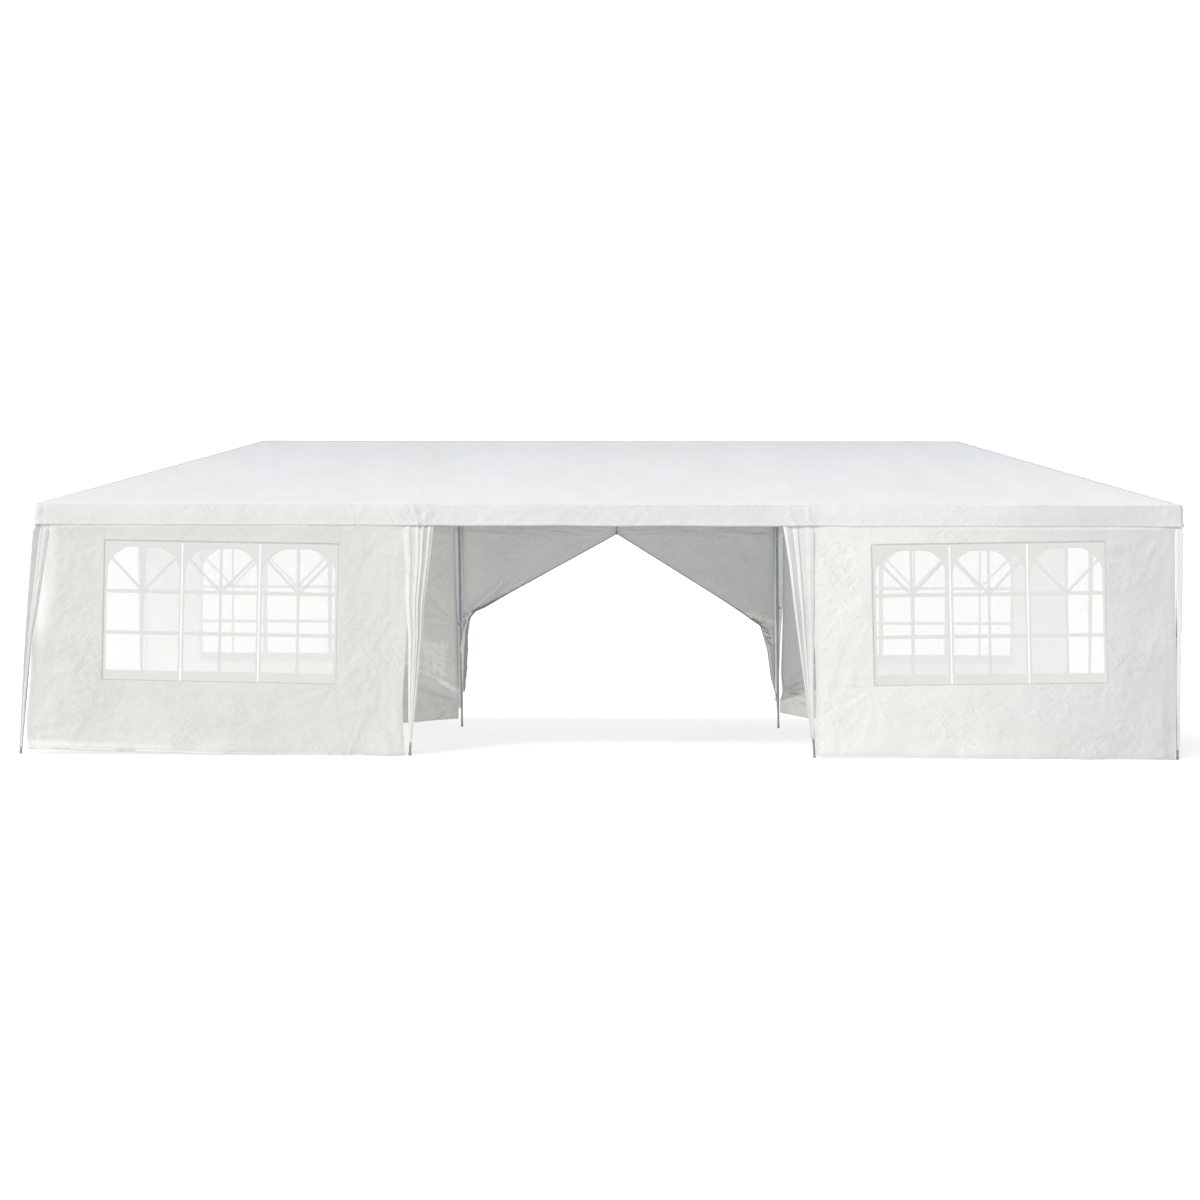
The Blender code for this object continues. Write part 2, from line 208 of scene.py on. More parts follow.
# The front right wall's sewn seam, and the rear left wall's crumpled patch: its lower left and
# upper right corners
SEAM = ((1.709, 0.576), (1.729, 0.381), (1.763, 0.187), (1.779, 0.031))
CRUMPLED_PATCH = ((-1.8, 0.44), (-1.565, 0.8))

# The rear right wall's crease above its gathered corner and the rear left wall's slanting fold:
# a point of each, as x and height, and its slope. Then both ends, as x, of the fold's lit part.
CORNER_CREASE = (1.604, 0.255, 0.31)
SLANTING_FOLD = (-1.46, 0.34, -0.52)
LIT_FOLD = (-1.63, -1.46)

# A window's size, and heights below its top edge
WINDOW_WIDTHS = {"front_left": 1.85, "front_right": 1.805, "rear_left": 1.85, "rear_right": 1.85}
WINDOW_HEIGHT = 1.096
WINDOW_UNITS = 3
ARCH_TOP_DROP = 0.042
ARCH_FOOT_DROP = 0.235
ARCH_RISE = 0.212
SPRING_BAR_DROP = 0.395
MIDDLE_BAR_DROP = 0.722
CLEAR_FOOT_DROP = 1.02
STILE_WIDTH = 0.021
BAR_WIDTH = 0.027
MULLION_WIDTH = 0.02
DIAGONAL_REACH = 0.25
DIAGONAL_RISE = 0.26
ARCH_STEPS = 30
PRINT_DEPTH = -CLOTH / 2 - FILM / 2
PRINT_THICKNESS = 0.0006
PRINT_LAYER = 0.0001
FILM_LAP = 0.012

# Folds across a leg strip: share of its width, how far it stands out, and how pale it is painted, which is
# painted highlight and painted shade.
# Those of a corner strip run from the corner to each of its two edges.
FOLDS_LEFT = (
    (0.0, 0.1, 0.75), (0.05, 0.5, 0.8), (0.16, 0.8, 1.0), (0.22, 0.8, 1.0), (0.27, 0.3, 0.55),
    (0.4, 0.35, 0.55), (0.44, 0.8, 0.95), (0.5, 0.8, 1.0), (0.55, 0.3, 0.4), (0.59, 0.85, 1.0),
    (0.66, 0.8, 0.9), (0.7, 0.2, 0.1), (0.8, 0.2, 0.15), (0.84, 0.8, 0.95), (0.89, 0.7, 0.95),
    (0.93, 0.2, 0.0), (0.97, 0.35, 0.35), (1.0, 0.3, 0.4),
)
FOLDS_RIGHT = (
    (0.0, 0.2, 0.8), (0.03, 0.8, 1.0), (0.1, 0.8, 1.0), (0.13, 0.3, 0.35), (0.28, 0.15, 0.15),
    (0.31, 0.8, 1.0), (0.42, 0.8, 0.95), (0.46, 0.2, 0.2), (0.5, 0.45, 0.55), (0.68, 0.5, 0.6),
    (0.71, 0.7, 0.85), (0.8, 0.75, 0.95), (0.95, 0.6, 1.0), (1.0, 0.0, 0.9),
)
FOLDS_REAR = (
    (0.0, 0.3, 1.0), (0.2, 0.8, 0.85), (0.32, 0.3, 0.6), (0.5, 0.2, 0.8), (0.68, 0.3, 0.6),
    (0.8, 0.8, 0.85), (1.0, 0.3, 1.0),
)
FOLDS_SHADED_CORNER = (
    (0.0, 0.3, 0.1), (0.34, 0.35, 0.0), (0.4, 0.2, 0.2), (0.44, 0.8, 1.0), (0.54, 0.75, 0.95),
    (0.6, 0.3, 0.5), (0.66, 0.7, 1.0), (0.84, 0.45, 1.0), (1.0, 0.0, 0.55),
)
FOLDS_CORNER = (
    (0.0, 0.3, 0.4), (0.12, 0.8, 1.0), (0.45, 0.7, 0.95), (0.5, 0.15, 0.3), (0.56, 0.7, 1.0),
    (0.85, 0.4, 1.0), (1.0, 0.0, 0.5),
)

# Leg strips: reach to each side of the leg's line at some heights. A corner strip has its
# reach along the long side, and how far the corner stands off the leg's line.
STRIP_HEIGHTS = (0.075, 0.3, 0.5, 0.94, 1.21, 1.51, 1.81)
REAR_CORNER = {
    "reach": (0.002, 0.002, 0.003, 0.003, 0.004, 0.006, 0.01),
    "stand": (0.008, 0.012, 0.014, 0.015, 0.016, 0.018, 0.022),
    "foot": 0.08,
    "folds": FOLDS_CORNER,
}
STRIPS = {
    "front_left": {
        "reach": (0.012, 0.014, 0.014, 0.02, 0.045, 0.069, 0.087),
        "stand": (0.006, 0.012, 0.018, 0.031, 0.035, 0.038, 0.0395),
        "foot": 0.05,
        "folds": FOLDS_SHADED_CORNER,
    },
    "front_mid_left": {
        "left": (0.004, 0.02, 0.028, 0.045, 0.078, 0.092, 0.13),
        "right": (0.01, 0.027, 0.042, 0.07, 0.075, 0.104, 0.127),
        "foot": 0.1,
        "folds": FOLDS_LEFT,
    },
    "front_mid_right": {
        "left": (0.012, 0.03, 0.04, 0.073, 0.092, 0.107, 0.136),
        "right": (0.01, 0.016, 0.022, 0.052, 0.076, 0.094, 0.112),
        "foot": 0.15,
        "folds": FOLDS_RIGHT,
    },
    "front_right": {
        "reach": (0.012, 0.016, 0.02, 0.014, 0.02, 0.026, 0.029),
        "stand": (0.007, 0.008, 0.009, 0.017, 0.022, 0.024, 0.024),
        "foot": 0.075,
        "folds": FOLDS_CORNER,
    },
    "rear_left": REAR_CORNER,
    "rear_mid_left": {
        "left": (0.012, 0.04, 0.045, 0.052, 0.056, 0.06, 0.08),
        "right": (0.008, 0.012, 0.014, 0.03, 0.032, 0.032, 0.06),
        "foot": 0.17,
        "folds": FOLDS_REAR,
    },
    "rear_mid_right": {
        "left": (0.01, 0.016, 0.02, 0.02, 0.02, 0.024, 0.05),
        "right": (0.008, 0.009, 0.013, 0.034, 0.06, 0.075, 0.09),
        "foot": 0.17,
        "folds": FOLDS_REAR,
    },
    "rear_right": REAR_CORNER,
}
STRIP_TOP = 1.93
STRIP_END_REACH = (0.02, 0.11)
STRIP_DEPTH = 0.09
STRIP_COLUMNS = 72
STRIP_ROWS = 84
STRIP_MEASURED_ROW = 8
KINK_HEIGHT = 1.04

# Rear door, down each half: share of the way, height of the near edge, and the free edge's
# reach from the leg (or None on the zip's line) and height
DOOR_APEX_X = 0.035
DOOR_APEX_GAP = 0.002
DOOR_EDGE_GAP = 0.024
DOORS = {
    "left": {
        "sign": -1,
        "stations": (
            (0.0, 1.9, None, 1.9),
            (0.05, 1.84, None, 1.822),
            (0.58, 1.17, 0.365, 1.21),
            (0.63, 1.13, 0.236, 1.138),
            (0.67, 1.08, 0.142, 1.097),
            (0.70, 1.04, 0.09, 1.04),
            (0.74, 0.98, 0.08, 0.974),
            (0.78, 0.91, 0.066, 0.913),
            (1.0, 0.34, 0.03, 0.33),
        ),
        "tie": 0.98,
        "tie_reach": 0.05,
        "roll": (0.006, 0.024, 0.032, 0.022),
        "hem": (0.003, 0.004, 0.011, 0.01, 0.002, 0.001),
    },
    "right": {
        "sign": 1,
        "stations": (
            (0.0, 1.9, None, 1.9),
            (0.05, 1.84, None, 1.827),
            (0.57, 1.13, 0.484, 1.187),
            (0.61, 1.08, 0.299, 1.063),
            (0.64, 1.04, 0.236, 1.016),
            (0.67, 0.98, 0.159, 0.965),
            (0.70, 0.92, 0.142, 0.907),
            (0.77, 0.75, 0.095, 0.741),
            (0.89, 0.47, 0.063, 0.472),
            (1.0, 0.25, 0.006, 0.254),
        ),
        "tie": 0.27,
        "tie_reach": 0.012,
        "roll": (0.004, 0.005, 0.006, 0.005),
        "hem": (0.003, 0.003, 0.005, 0.006, 0.004, 0.002),
    },
}
DOOR_COLUMNS = 84
DOOR_ROWS = 220
DOOR_WIDTH = 1.48
DOOR_ELBOW = 5
DOOR_ROLL_START = 0.3
DOOR_ROLL_SIDES = 22
DOOR_HEM_START = 0.06

# Painted highlights, painted shade and the darkest painted shade on each half's creases, as lines,
# and the knots: x, height, radius and length
DOOR_LIGHTS = {
    "left": (
        ((-1.036, 1.403), (-1.06, 1.34)),
        ((-1.06, 1.34), (-1.13, 1.27)),
        ((-1.13, 1.27), (-1.23, 1.19)),
        ((-1.23, 1.19), (-1.31, 1.13)),
    ),
    "right": (
        ((1.29, 1.045), (1.375, 1.035)),
        ((1.375, 1.035), (1.5, 0.985)),
        ((1.45, 0.76), (1.54, 0.3)),
        ((1.45, 0.9), (1.51, 0.82)),
    ),
}
DOOR_CREASE_SHADES = {
    "left": (),
    "right": (
        ((1.26, 1.077), (1.355, 1.07)),
        ((1.355, 1.07), (1.53, 1.01)),
    ),
}
DOOR_DEEP_SHADES = {
    "left": (),
    "right": (
        ((1.315, 1.03), (1.395, 0.978)),
        ((1.402, 0.957), (1.468, 0.92)),
        ((1.421, 0.918), (1.477, 0.882)),
        ((1.44, 0.862), (1.486, 0.843)),
        ((1.455, 0.83), (1.49, 0.78)),
    ),
}
DOOR_KNOTS = ((-1.38, 1.03, 0.012, 0.05), (-1.409, 0.42, 0.009, 0.06), (1.54, 0.28, 0.008, 0.04))

# Main folds of each half: a line of (x, height) places, the fold's width and its depth
DOOR_FOLDS = {
    "left": (
        (((-0.9, 1.42), (-1.05, 1.28), (-1.14, 1.2), (-1.25, 1.14)), 0.06, 0.016),
        (((-0.5, 1.6), (-0.9, 1.36), (-1.15, 1.19)), 0.03, 0.006),
    ),
    "right": (
        (((1.26, 1.08), (1.388, 1.068), (1.511, 1.02)), 0.05, 0.018),
        (((1.3, 1.01), (1.42, 0.975), (1.5, 0.93)), 0.03, 0.012),
        (((1.42, 0.93), (1.5, 0.86)), 0.02, 0.008),
    ),
}

# The end of the door's zip: heights and radius, and heights and radii of its gusset
ZIP_ENDS = (1.83, 1.893)
ZIP_RADIUS = 0.0022
GUSSET_RINGS = ((1.85, 0.002), (1.84, 0.007), (1.826, 0.013), (1.822, 0.002))

# Ties: a loop's gap round its tube, the eyelet's way in from the wall's edge and up from the
# loop, how far a cord sags, and heights and radii of a bead
TIE_RADIUS = 0.0018
TIE_GAP = 0.002
EYELET_INSET = 0.014
EYELET_RISE = 0.006
TIE_SAG = 0.006
DOOR_TIE_RADIUS = 0.0025
DOOR_TIE_RING = 0.03
BEAD_REACH = 0.014
BEAD_RINGS = ((-0.011, 0.003), (-0.007, 0.008), (0, 0.009), (0.007, 0.008), (0.011, 0.003))

# Camera, fitted to the photograph's 1200 x 1200 frame
PHOTO_SIDE = 1200
FOCAL_PX = 1883.86
SENSOR_MM = 36.0
CAMERA_FROM_CENTRE = (0.3548, -16.2722, 1.4007)
CAMERA_PITCH = -0.6498
CAMERA_YAW = 1.5287
CAMERA_ROLL = -0.1658

# Studio
SKY = {"Color": (0.97, 0.985, 1.0, 1), "Strength": 0.62}
BACKDROP = {"Color": (1, 1, 1, 1), "Strength": 1.12}
SUNS = {"key": ((-0.4, -0.62, 0.9), 1.9, 22), "side": ((-0.9, -0.35, 0.35), 0.7, 35)}
FLOOR_SIZE = 120
FLOOR = {
    "Base Color": (0.51, 0.5, 0.485, 1),
    "Roughness": 0.9,
    "Specular IOR Level": 0.0,
    "Emission Color": (1, 1, 1, 1),
    "Emission Strength": 0.6,
}

LEGS = list(STRIPS)
SIDE_SIGN = {"front": -1, "rear": 1}


# Names and places


def side_of(name):
    """The side, front or rear, of a leg or a wall."""
    return name.split("_")[0]


def window_box(name):
    """Half the width of a wall's window, and the heights of its sill and its top edge."""
    sill = WALLS[name]["window"][1]
    return WINDOW_WIDTHS[name] / 2, sill, sill + WINDOW_HEIGHT


def edge_x(name, edge, height):
    return np.interp(height, *zip(*WALLS[name][edge]))


def foot_height(name, x):
    return np.interp(x, *zip(*WALLS[name]["foot"]))


# Fields and curves


def smooth(low, high, value):
    """0 at low, 1 at high, and an even curve between them."""
    share = np.clip((value - low) / (high - low), 0, 1)
    return share * share * (3 - 2 * share)


def bell(offset, width):
    """1 where there is no offset, falling away evenly on both sides."""
    return np.exp(-((offset / width) ** 2))


def ripple(u, v, seed, wave, count=14):
    """A smooth random field with waves about that long, mostly within 1 of 0, alike on every run."""
    draw = np.random.RandomState(seed)
    total = 0
    for _ in range(count):
        turn = draw.uniform(0, math.pi)
        length = wave * draw.uniform(0.65, 1.6)
        run = u * math.cos(turn) + v * math.sin(turn)
        total = total + np.sin(run * 2 * math.pi / length + draw.uniform(0, 2 * math.pi))
    return total * math.sqrt(0.5 / count)


def creases(u, v, seed, wave):
    """Sharp low ridges, as in crumpled sheeting, from 0 to 1."""
    return np.exp(-3.5 * abs(ripple(u, v, seed, wave))) * (0.5 + 0.5 * ripple(u, v, seed + 1, wave * 2))


def drags(u, v, seed, turn, wave):
    """Creases that mostly run one way, at that angle from upright."""
    along = u * math.sin(turn) + v * math.cos(turn)
    across = u * math.cos(turn) - v * math.sin(turn)
    return creases(across, along * 0.22, seed, wave)


def wrinkled(u, v, ripples=(), creased=(), dragged=(), seed=0):
    """The sum of some ripples, creases and drags, whose draws start from a seed."""
    total = 0
    for depth, wave, draw in ripples:
        total = total + depth * ripple(u, v, seed + draw, wave)
    for depth, wave, draw in creased:
        total = total + depth * creases(u, v, seed + draw, wave)
    for depth, turn, wave, draw in dragged:
        total = total + depth * drags(u, v, seed + draw, turn, wave)
    return total


def fan_folds(u, v, ties, seed):
    """Folds that fan out from the points where cloth is tied, each (u, v, depth, reach)."""
    draw = np.random.RandomState(seed)
    total = 0
    for tie_u, tie_v, depth, reach in ties:
        away_u, away_v = u - tie_u, v - tie_v
        far = np.hypot(away_u, away_v)
        angle = np.arctan2(away_v, away_u)
        folds = 0
        for _ in range(4):
            folds = folds + np.sin(angle * draw.randint(6, 19) + draw.uniform(0, 2 * math.pi) + far * 3)
        total = total + depth * 0.45 * folds * np.exp(-far / reach) * (1 - np.exp(-far / 0.05))
    return total


# Meshes


def link(name, mesh, finish):
    piece = bpy.data.objects.new(name, mesh)
    bpy.context.scene.collection.objects.link(piece)
    mesh.materials.append(finish)
    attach(piece, "root")
    return piece


def set_tone(mesh, tone):
    """Gives each point of a mesh a value that its cloth's colour follows."""
    mesh.attributes.new("tone", "FLOAT", "POINT").data.foreach_set("value", np.ravel(tone))


def grid_mesh(name, points, cut, keep=None, split=None, close=False, tone=None):
    """A mesh from a grid of points, with its cut coordinates in metres as the UV map.

    keep says which cells have a face. split says which cells are cut along their rising
    diagonal (1) or their falling one (-1). close joins the grid's last column to its first.
    tone is a value at each point, which a cloth's colour can follow.
    """
    columns, rows = points.shape[:2]
    index = np.arange(columns * rows).reshape(columns, rows)
    faces = []
    last = columns if close else columns - 1
    for i in range(last):
        n = (i + 1) % columns
        for j in range(rows - 1):
            if keep is not None and not keep[i, j]:
                continue
            a, b, c, d = index[i, j], index[n, j], index[n, j + 1], index[i, j + 1]
            way = 0 if split is None else split[i, j]
            if way > 0:
                faces += [(a, b, c), (a, c, d)]
            elif way < 0:
                faces += [(a, b, d), (b, c, d)]
            else:
                faces.append((a, b, c, d))
    mesh = bpy.data.meshes.new(name)
    mesh.from_pydata(points.reshape(-1, 3).tolist(), [], [tuple(int(n) for n in f) for f in faces])
    layer = mesh.uv_layers.new(name="cut")
    corners = np.empty(len(mesh.loops), np.int32)
    mesh.loops.foreach_get("vertex_index", corners)
    layer.data.foreach_set("uv", cut.reshape(-1, 2)[corners].ravel())
    if tone is not None:
        set_tone(mesh, tone)
    bm = bmesh.new()
    bm.from_mesh(mesh)
    bmesh.ops.delete(bm, geom=[v for v in bm.verts if not v.link_faces], context="VERTS")
    bm.to_mesh(mesh)
    bm.free()
    mesh.shade_smooth()
    return mesh


def cloth_piece(name, mesh, finish, outward=None, thickness=CLOTH, offset=0.0):
    """A piece from a mesh of one layer: turned to face outward, linked and made thick."""
    if outward is not None:
        facing = sum((face.normal * face.area for face in mesh.polygons), Vector())
        if facing.dot(Vector(outward)) < 0:
            mesh.flip_normals()
    piece = link(name, mesh, finish)
    body = piece.modifiers.new("thickness", "SOLIDIFY")
    body.thickness = thickness
    body.offset = offset
    return piece


class Solid:
    """Collects closed shapes into one mesh."""

    def __init__(self):
        self.places = []
        self.faces = []

    def skin(self, rings, closed=False):
        """A skin over rings of points, capped at both ends unless its ends are joined."""
        count, sides = rings.shape[:2]
        base = len(self.places)
        self.places += rings.reshape(-1, 3).tolist()
        for n in range(count if closed else count - 1):
            near, far = base + n * sides, base + (n + 1) % count * sides
            for k in range(sides):
                m = (k + 1) % sides
                self.faces.append((near + k, near + m, far + m, far + k))
        if not closed:
            self.faces.append(tuple(base + k for k in reversed(range(sides))))
            self.faces.append(tuple(base + (count - 1) * sides + k for k in range(sides)))

    def tube(self, path, radius, sides=10, closed=False, lobes=None):
        """A round cord or roll along a path, as wide as radius says at each point of it."""
        path = np.asarray(path, float)
        if closed:
            run = np.roll(path, -1, axis=0) - np.roll(path, 1, axis=0)
        else:
            run = np.gradient(path, axis=0)
        run /= np.linalg.norm(run, axis=1, keepdims=True)
        side = np.cross(run, (0.0, 1.0, 0.02))
        side /= np.linalg.norm(side, axis=1, keepdims=True)
        other = np.cross(run, side)
        turn = np.linspace(0, 2 * math.pi, sides, endpoint=False)
        wide = np.broadcast_to(np.asarray(radius, float), (len(path),))[:, None]
        wide = wide * (1 if lobes is None else lobes(np.arange(len(path))[:, None], turn[None, :]))
        wide = np.broadcast_to(wide, (len(path), sides))[..., None]
        spoke = side[:, None] * np.cos(turn)[None, :, None] + other[:, None] * np.sin(turn)[None, :, None]
        self.skin(path[:, None] + spoke * wide, closed)

    def plate(self, back, front):
        """A plate between two grids of points."""
        columns, rows = back.shape[:2]
        rim = [(i, 0) for i in range(columns)] + [(columns - 1, j) for j in range(1, rows)]
        rim += [(i, rows - 1) for i in range(columns - 2, -1, -1)] + [(0, j) for j in range(rows - 2, 0, -1)]
        base = len(self.places)
        self.places += back.reshape(-1, 3).tolist() + front.reshape(-1, 3).tolist()
        size = columns * rows
        for i in range(columns - 1):
            for j in range(rows - 1):
                a, b = base + i * rows + j, base + (i + 1) * rows + j
                self.faces.append((a, a + 1, b + 1, b))
                self.faces.append((size + a, size + b, size + b + 1, size + a + 1))
        for (i, j), (m, n) in zip(rim, rim[1:] + rim[:1]):
            a, b = base + i * rows + j, base + m * rows + n
            self.faces.append((a, b, size + b, size + a))

    def finish(self, name, finish, slot=None, sharp=40, tone=None):
        """The shapes as one piece. tone is a value for each point, or a function of (x, height)."""
        mesh = bpy.data.meshes.new(name)
        mesh.from_pydata(self.places, [], self.faces)
        places = np.array(self.places)
        x = places[:, 0] - CENTRE_X
        if tone is None:
            tone = x
        elif callable(tone):
            tone = tone(x, places[:, 2])
        set_tone(mesh, tone)
        bm = bmesh.new()
        bm.from_mesh(mesh)
        bmesh.ops.recalc_face_normals(bm, faces=bm.faces)
        bm.to_mesh(mesh)
        bm.free()
        mesh.shade_smooth()
        mesh.set_sharp_from_angle(angle=math.radians(sharp))
        return link(name, mesh, finish)


class Surface:
    """A grid of cloth points over cut coordinates, which seams and prints are laid on."""

    def __init__(self, across, up, points, outward):
        self.across = across
        self.up = up
        self.points = points
        self.outward = np.array(outward, float)

    def at(self, u, v, lift=0.0):
        u, v = np.broadcast_arrays(np.asarray(u, float), np.asarray(v, float))
        i = np.clip(np.searchsorted(self.across, u) - 1, 0, len(self.across) - 2)
        j = np.clip(np.searchsorted(self.up, v) - 1, 0, len(self.up) - 2)
        s = ((u - self.across[i]) / (self.across[i + 1] - self.across[i]))[..., None]
        t = ((v - self.up[j]) / (self.up[j + 1] - self.up[j]))[..., None]
        p = self.points
        low = p[i, j] * (1 - s) + p[i + 1, j] * s
        high = p[i, j + 1] * (1 - s) + p[i + 1, j + 1] * s
        along = (p[i + 1, j] - p[i, j]) * (1 - t) + (p[i + 1, j + 1] - p[i, j + 1]) * t
        normal = np.cross(along, high - low)
        normal /= np.linalg.norm(normal, axis=-1, keepdims=True)
        normal *= np.sign(normal @ self.outward)[..., None]
        return low * (1 - t) + high * t + normal * lift

    def patch(self, low_u, high_u, low_v, high_v, step, lift=0.0):
        """A grid of points over part of the surface, and its cut coordinates."""
        across = np.linspace(low_u, high_u, max(2, round((high_u - low_u) / step) + 1))
        up = np.linspace(low_v, high_v, max(2, round((high_v - low_v) / step) + 1))
        u, v = np.meshgrid(across, up, indexing="ij")
        return self.at(u, v, lift), np.stack([u, v], axis=-1)

    def band(self, solid, path, width, lift, thickness, step=0.03):
        """A flat band along a path of cut coordinates."""
        stops = []
        for (u0, v0), (u1, v1) in zip(path, path[1:]):
            count = max(1, round(math.hypot(u1 - u0, v1 - v0) / step))
            stops += [(u0 + (u1 - u0) * n / count, v0 + (v1 - v0) * n / count) for n in range(count)]
        stops = np.array(stops + [path[-1]])
        run = np.gradient(stops, axis=0)
        run /= np.linalg.norm(run, axis=1, keepdims=True)
        side = np.stack([-run[:, 1], run[:, 0]], axis=1) * width / 2
        left, right = stops + side, stops - side
        corners = [(left, lift), (left, lift + thickness), (right, lift + thickness), (right, lift)]
        rings = np.stack([self.at(edge[:, 0], edge[:, 1], high) for edge, high in corners], axis=1)
        solid.skin(rings)


# Materials


class Graph:
    """The nodes of a material or of the world, with short ways to add and join them."""

    def __init__(self, owner):
        owner.use_nodes = True
        self.owner = owner
        self.nodes = owner.node_tree.nodes
        self.links = owner.node_tree.links

    def feed(self, node, inputs):
        """Joins each of a node's inputs to a socket, or sets it to a value."""
        for name, value in inputs.items():
            if isinstance(value, bpy.types.NodeSocket):
                self.links.new(value, node.inputs[name])
            else:
                node.inputs[name].default_value = value

    def add(self, kind, inputs):
        made = self.nodes.new("ShaderNode" + kind)
        self.feed(made, inputs)
        return made

    def shade(self, inputs):
        """Feeds the material's own shader."""
        self.feed(self.nodes["Principled BSDF"], inputs)

    def place(self):
        return self.add("TexCoord", {}).outputs["Object"]

    def math(self, operation, *values):
        made = self.add("Math", dict(enumerate(values)))
        made.operation = operation
        return made.outputs["Value"]

    def mixed(self, blend, share, first, second):
        made = self.add("MixRGB", {"Fac": share, "Color1": first, "Color2": second})
        made.blend_type = blend
        return made.outputs["Color"]

    def noise(self, place, scale, detail=4.0, roughness=0.55):
        inputs = {"Vector": place, "Scale": scale, "Detail": detail, "Roughness": roughness}
        return self.add("TexNoise", inputs).outputs["Fac"]

    def ramp(self, factor, stops):
        """A colour ramp over stops of (position, colour)."""
        made = self.add("ValToRGB", {"Fac": factor})
        elements = made.color_ramp.elements
        while len(elements) < len(stops):
            elements.new(0.5)
        for element, (position, colour) in zip(elements, stops):
            element.position = position
            element.color = (*colour, 1)
        return made.outputs["Color"]

    def mapped(self, value, from_min, from_max, to_min, to_max):
        """A value moved from one range to another, and held within it."""
        limits = {"From Min": from_min, "From Max": from_max, "To Min": to_min, "To Max": to_max}
        return self.add("MapRange", {"Value": value, **limits}).outputs["Result"]

    def bump(self, height, distance, strength, before=None):
        inputs = {"Height": height, "Distance": distance, "Strength": strength}
        if before is not None:
            inputs["Normal"] = before
        return self.add("Bump", inputs).outputs["Normal"]

    def crumple(self, place, scale):
        """Facets as in crumpled sheeting, from cells whose borders are bent by noise."""
        warp = self.add("TexNoise", {"Vector": place, "Scale": scale * 0.7}).outputs["Color"]
        bent = self.mixed("LINEAR_LIGHT", 0.09, place, warp)
        return self.add("TexVoronoi", {"Vector": bent, "Scale": scale}).outputs["Distance"]

    def wrinkle_lines(self, place, turn, scale):
        """Fine ridges that mostly run one way, turn being their angle from upright in an XZ plane."""
        turned = self.add("Mapping", {"Vector": place, "Rotation": (0, turn, 0)}).outputs["Vector"]
        pressed = self.add("Mapping", {"Vector": turned, "Scale": (1, 1, 0.14)}).outputs["Vector"]
        inputs = {"Vector": pressed, "Scale": scale, "Detail": 2.5, "Distortion": 0.6}
        field = self.add("TexNoise", inputs).outputs["Fac"]
        off_ridge = self.math("ABSOLUTE", self.math("SUBTRACT", field, 0.5))
        ridge = self.mapped(off_ridge, 0.0, 0.09, 1, 0)
        shown = self.mapped(self.noise(place, 1.9, 2), 0.42, 0.62, 0, 1)
        return self.math("MULTIPLY", ridge, shown)

    def weave(self, cut):
        """Crossed flat tapes, about 2.5 mm wide."""
        heights = []
        for direction in ("X", "Y"):
            tape = self.add("TexWave", {"Vector": cut, "Scale": 125})
            tape.bands_direction = direction
            heights.append(tape.outputs["Fac"])
        return self.math("MAXIMUM", *heights)


def cloth_material(name, stops, roughness, through, axis=None, wrinkled=1.0):
    """Coated woven sheeting, whose colour changes over stops of (place, colour).

    The place is the mesh's own tone or, where an axis is given, the place along it in metres.
    """
    made = Graph(bpy.data.materials.new(name))
    place = made.place()
    cut = made.add("UVMap", {})
    cut.uv_map = "cut"
    if axis is None:
        toned = made.add("Attribute", {})
        toned.attribute_name = "tone"
        value = toned.outputs["Fac"]
    else:
        value = made.add("SeparateXYZ", {"Vector": place}).outputs[axis]
    low, high = stops[0][0], stops[-1][0]
    shares = [((at - low) / (high - low), colour) for at, colour in stops]
    mottle = made.noise(place, 1.7, 6, 0.6)
    stain = made.ramp(mottle, ((0.3, STAIN), (0.68, (1.0, 1.0, 1.0))))
    colour = made.mixed("MULTIPLY", 1.0, made.ramp(made.mapped(value, low, high, 0, 1), shares), stain)
    relief = (
        (made.crumple(place, 7), 0.012 * wrinkled, 0.5),
        (made.crumple(place, 19), 0.0045 * wrinkled, 0.5),
        (made.wrinkle_lines(place, 0.6, 16), 0.004 * wrinkled, 0.6),
        (made.wrinkle_lines(place, -0.9, 24), 0.003 * wrinkled, 0.6),
        (made.weave(cut.outputs["UV"]), 0.00018, 0.5),
    )
    normal = None
    for height, distance, strength in relief:
        normal = made.bump(height, distance, strength, normal)
    rough = made.mapped(mottle, 0.2, 0.8, roughness + 0.07, roughness - 0.07)
    made.shade({"Base Color": colour, "Roughness": rough, "Specular IOR Level": 0.4, "Normal": normal})
    front = made.nodes["Principled BSDF"].outputs["BSDF"]
    lit = made.add("BsdfTranslucent", {"Color": colour}).outputs["BSDF"]
    both = made.add("MixShader", {"Fac": through, 1: front, 2: lit}).outputs["Shader"]
    made.feed(made.nodes["Material Output"], {"Surface": both})
    return made.owner


def film_material(name, haziness, colour):
    """Clear soft film, hazy and a little rippled."""
    made = Graph(bpy.data.materials.new(name))
    place = made.place()
    haze = made.mapped(made.noise(place, 2.0, 4), 0.25, 0.75, haziness - 0.02, haziness + 0.02)
    normal = made.bump(made.noise(place, 7, 3), 0.006, 0.5)
    made.shade({"Base Color": (*colour, 1), "Roughness": 0.25, "Alpha": haze, "Normal": normal})
    return made.owner


def mottled_material(name, pale, shade, roughness, metallic=0.0, grain=14.0, relief=0.0004):
    """A material whose colour, gloss and relief vary with a noise."""
    made = Graph(bpy.data.materials.new(name))
    place = made.place()
    mottle = made.noise(place, grain, 5)
    colour = made.ramp(mottle, ((0.3, shade), (0.7, pale)))
    rough = made.mapped(mottle, 0.2, 0.8, roughness + 0.08, roughness - 0.08)
    normal = made.bump(made.noise(place, grain * 9, 3), relief, 0.4)
    made.shade({"Base Color": colour, "Roughness": rough, "Metallic": metallic, "Normal": normal})
    return made.owner


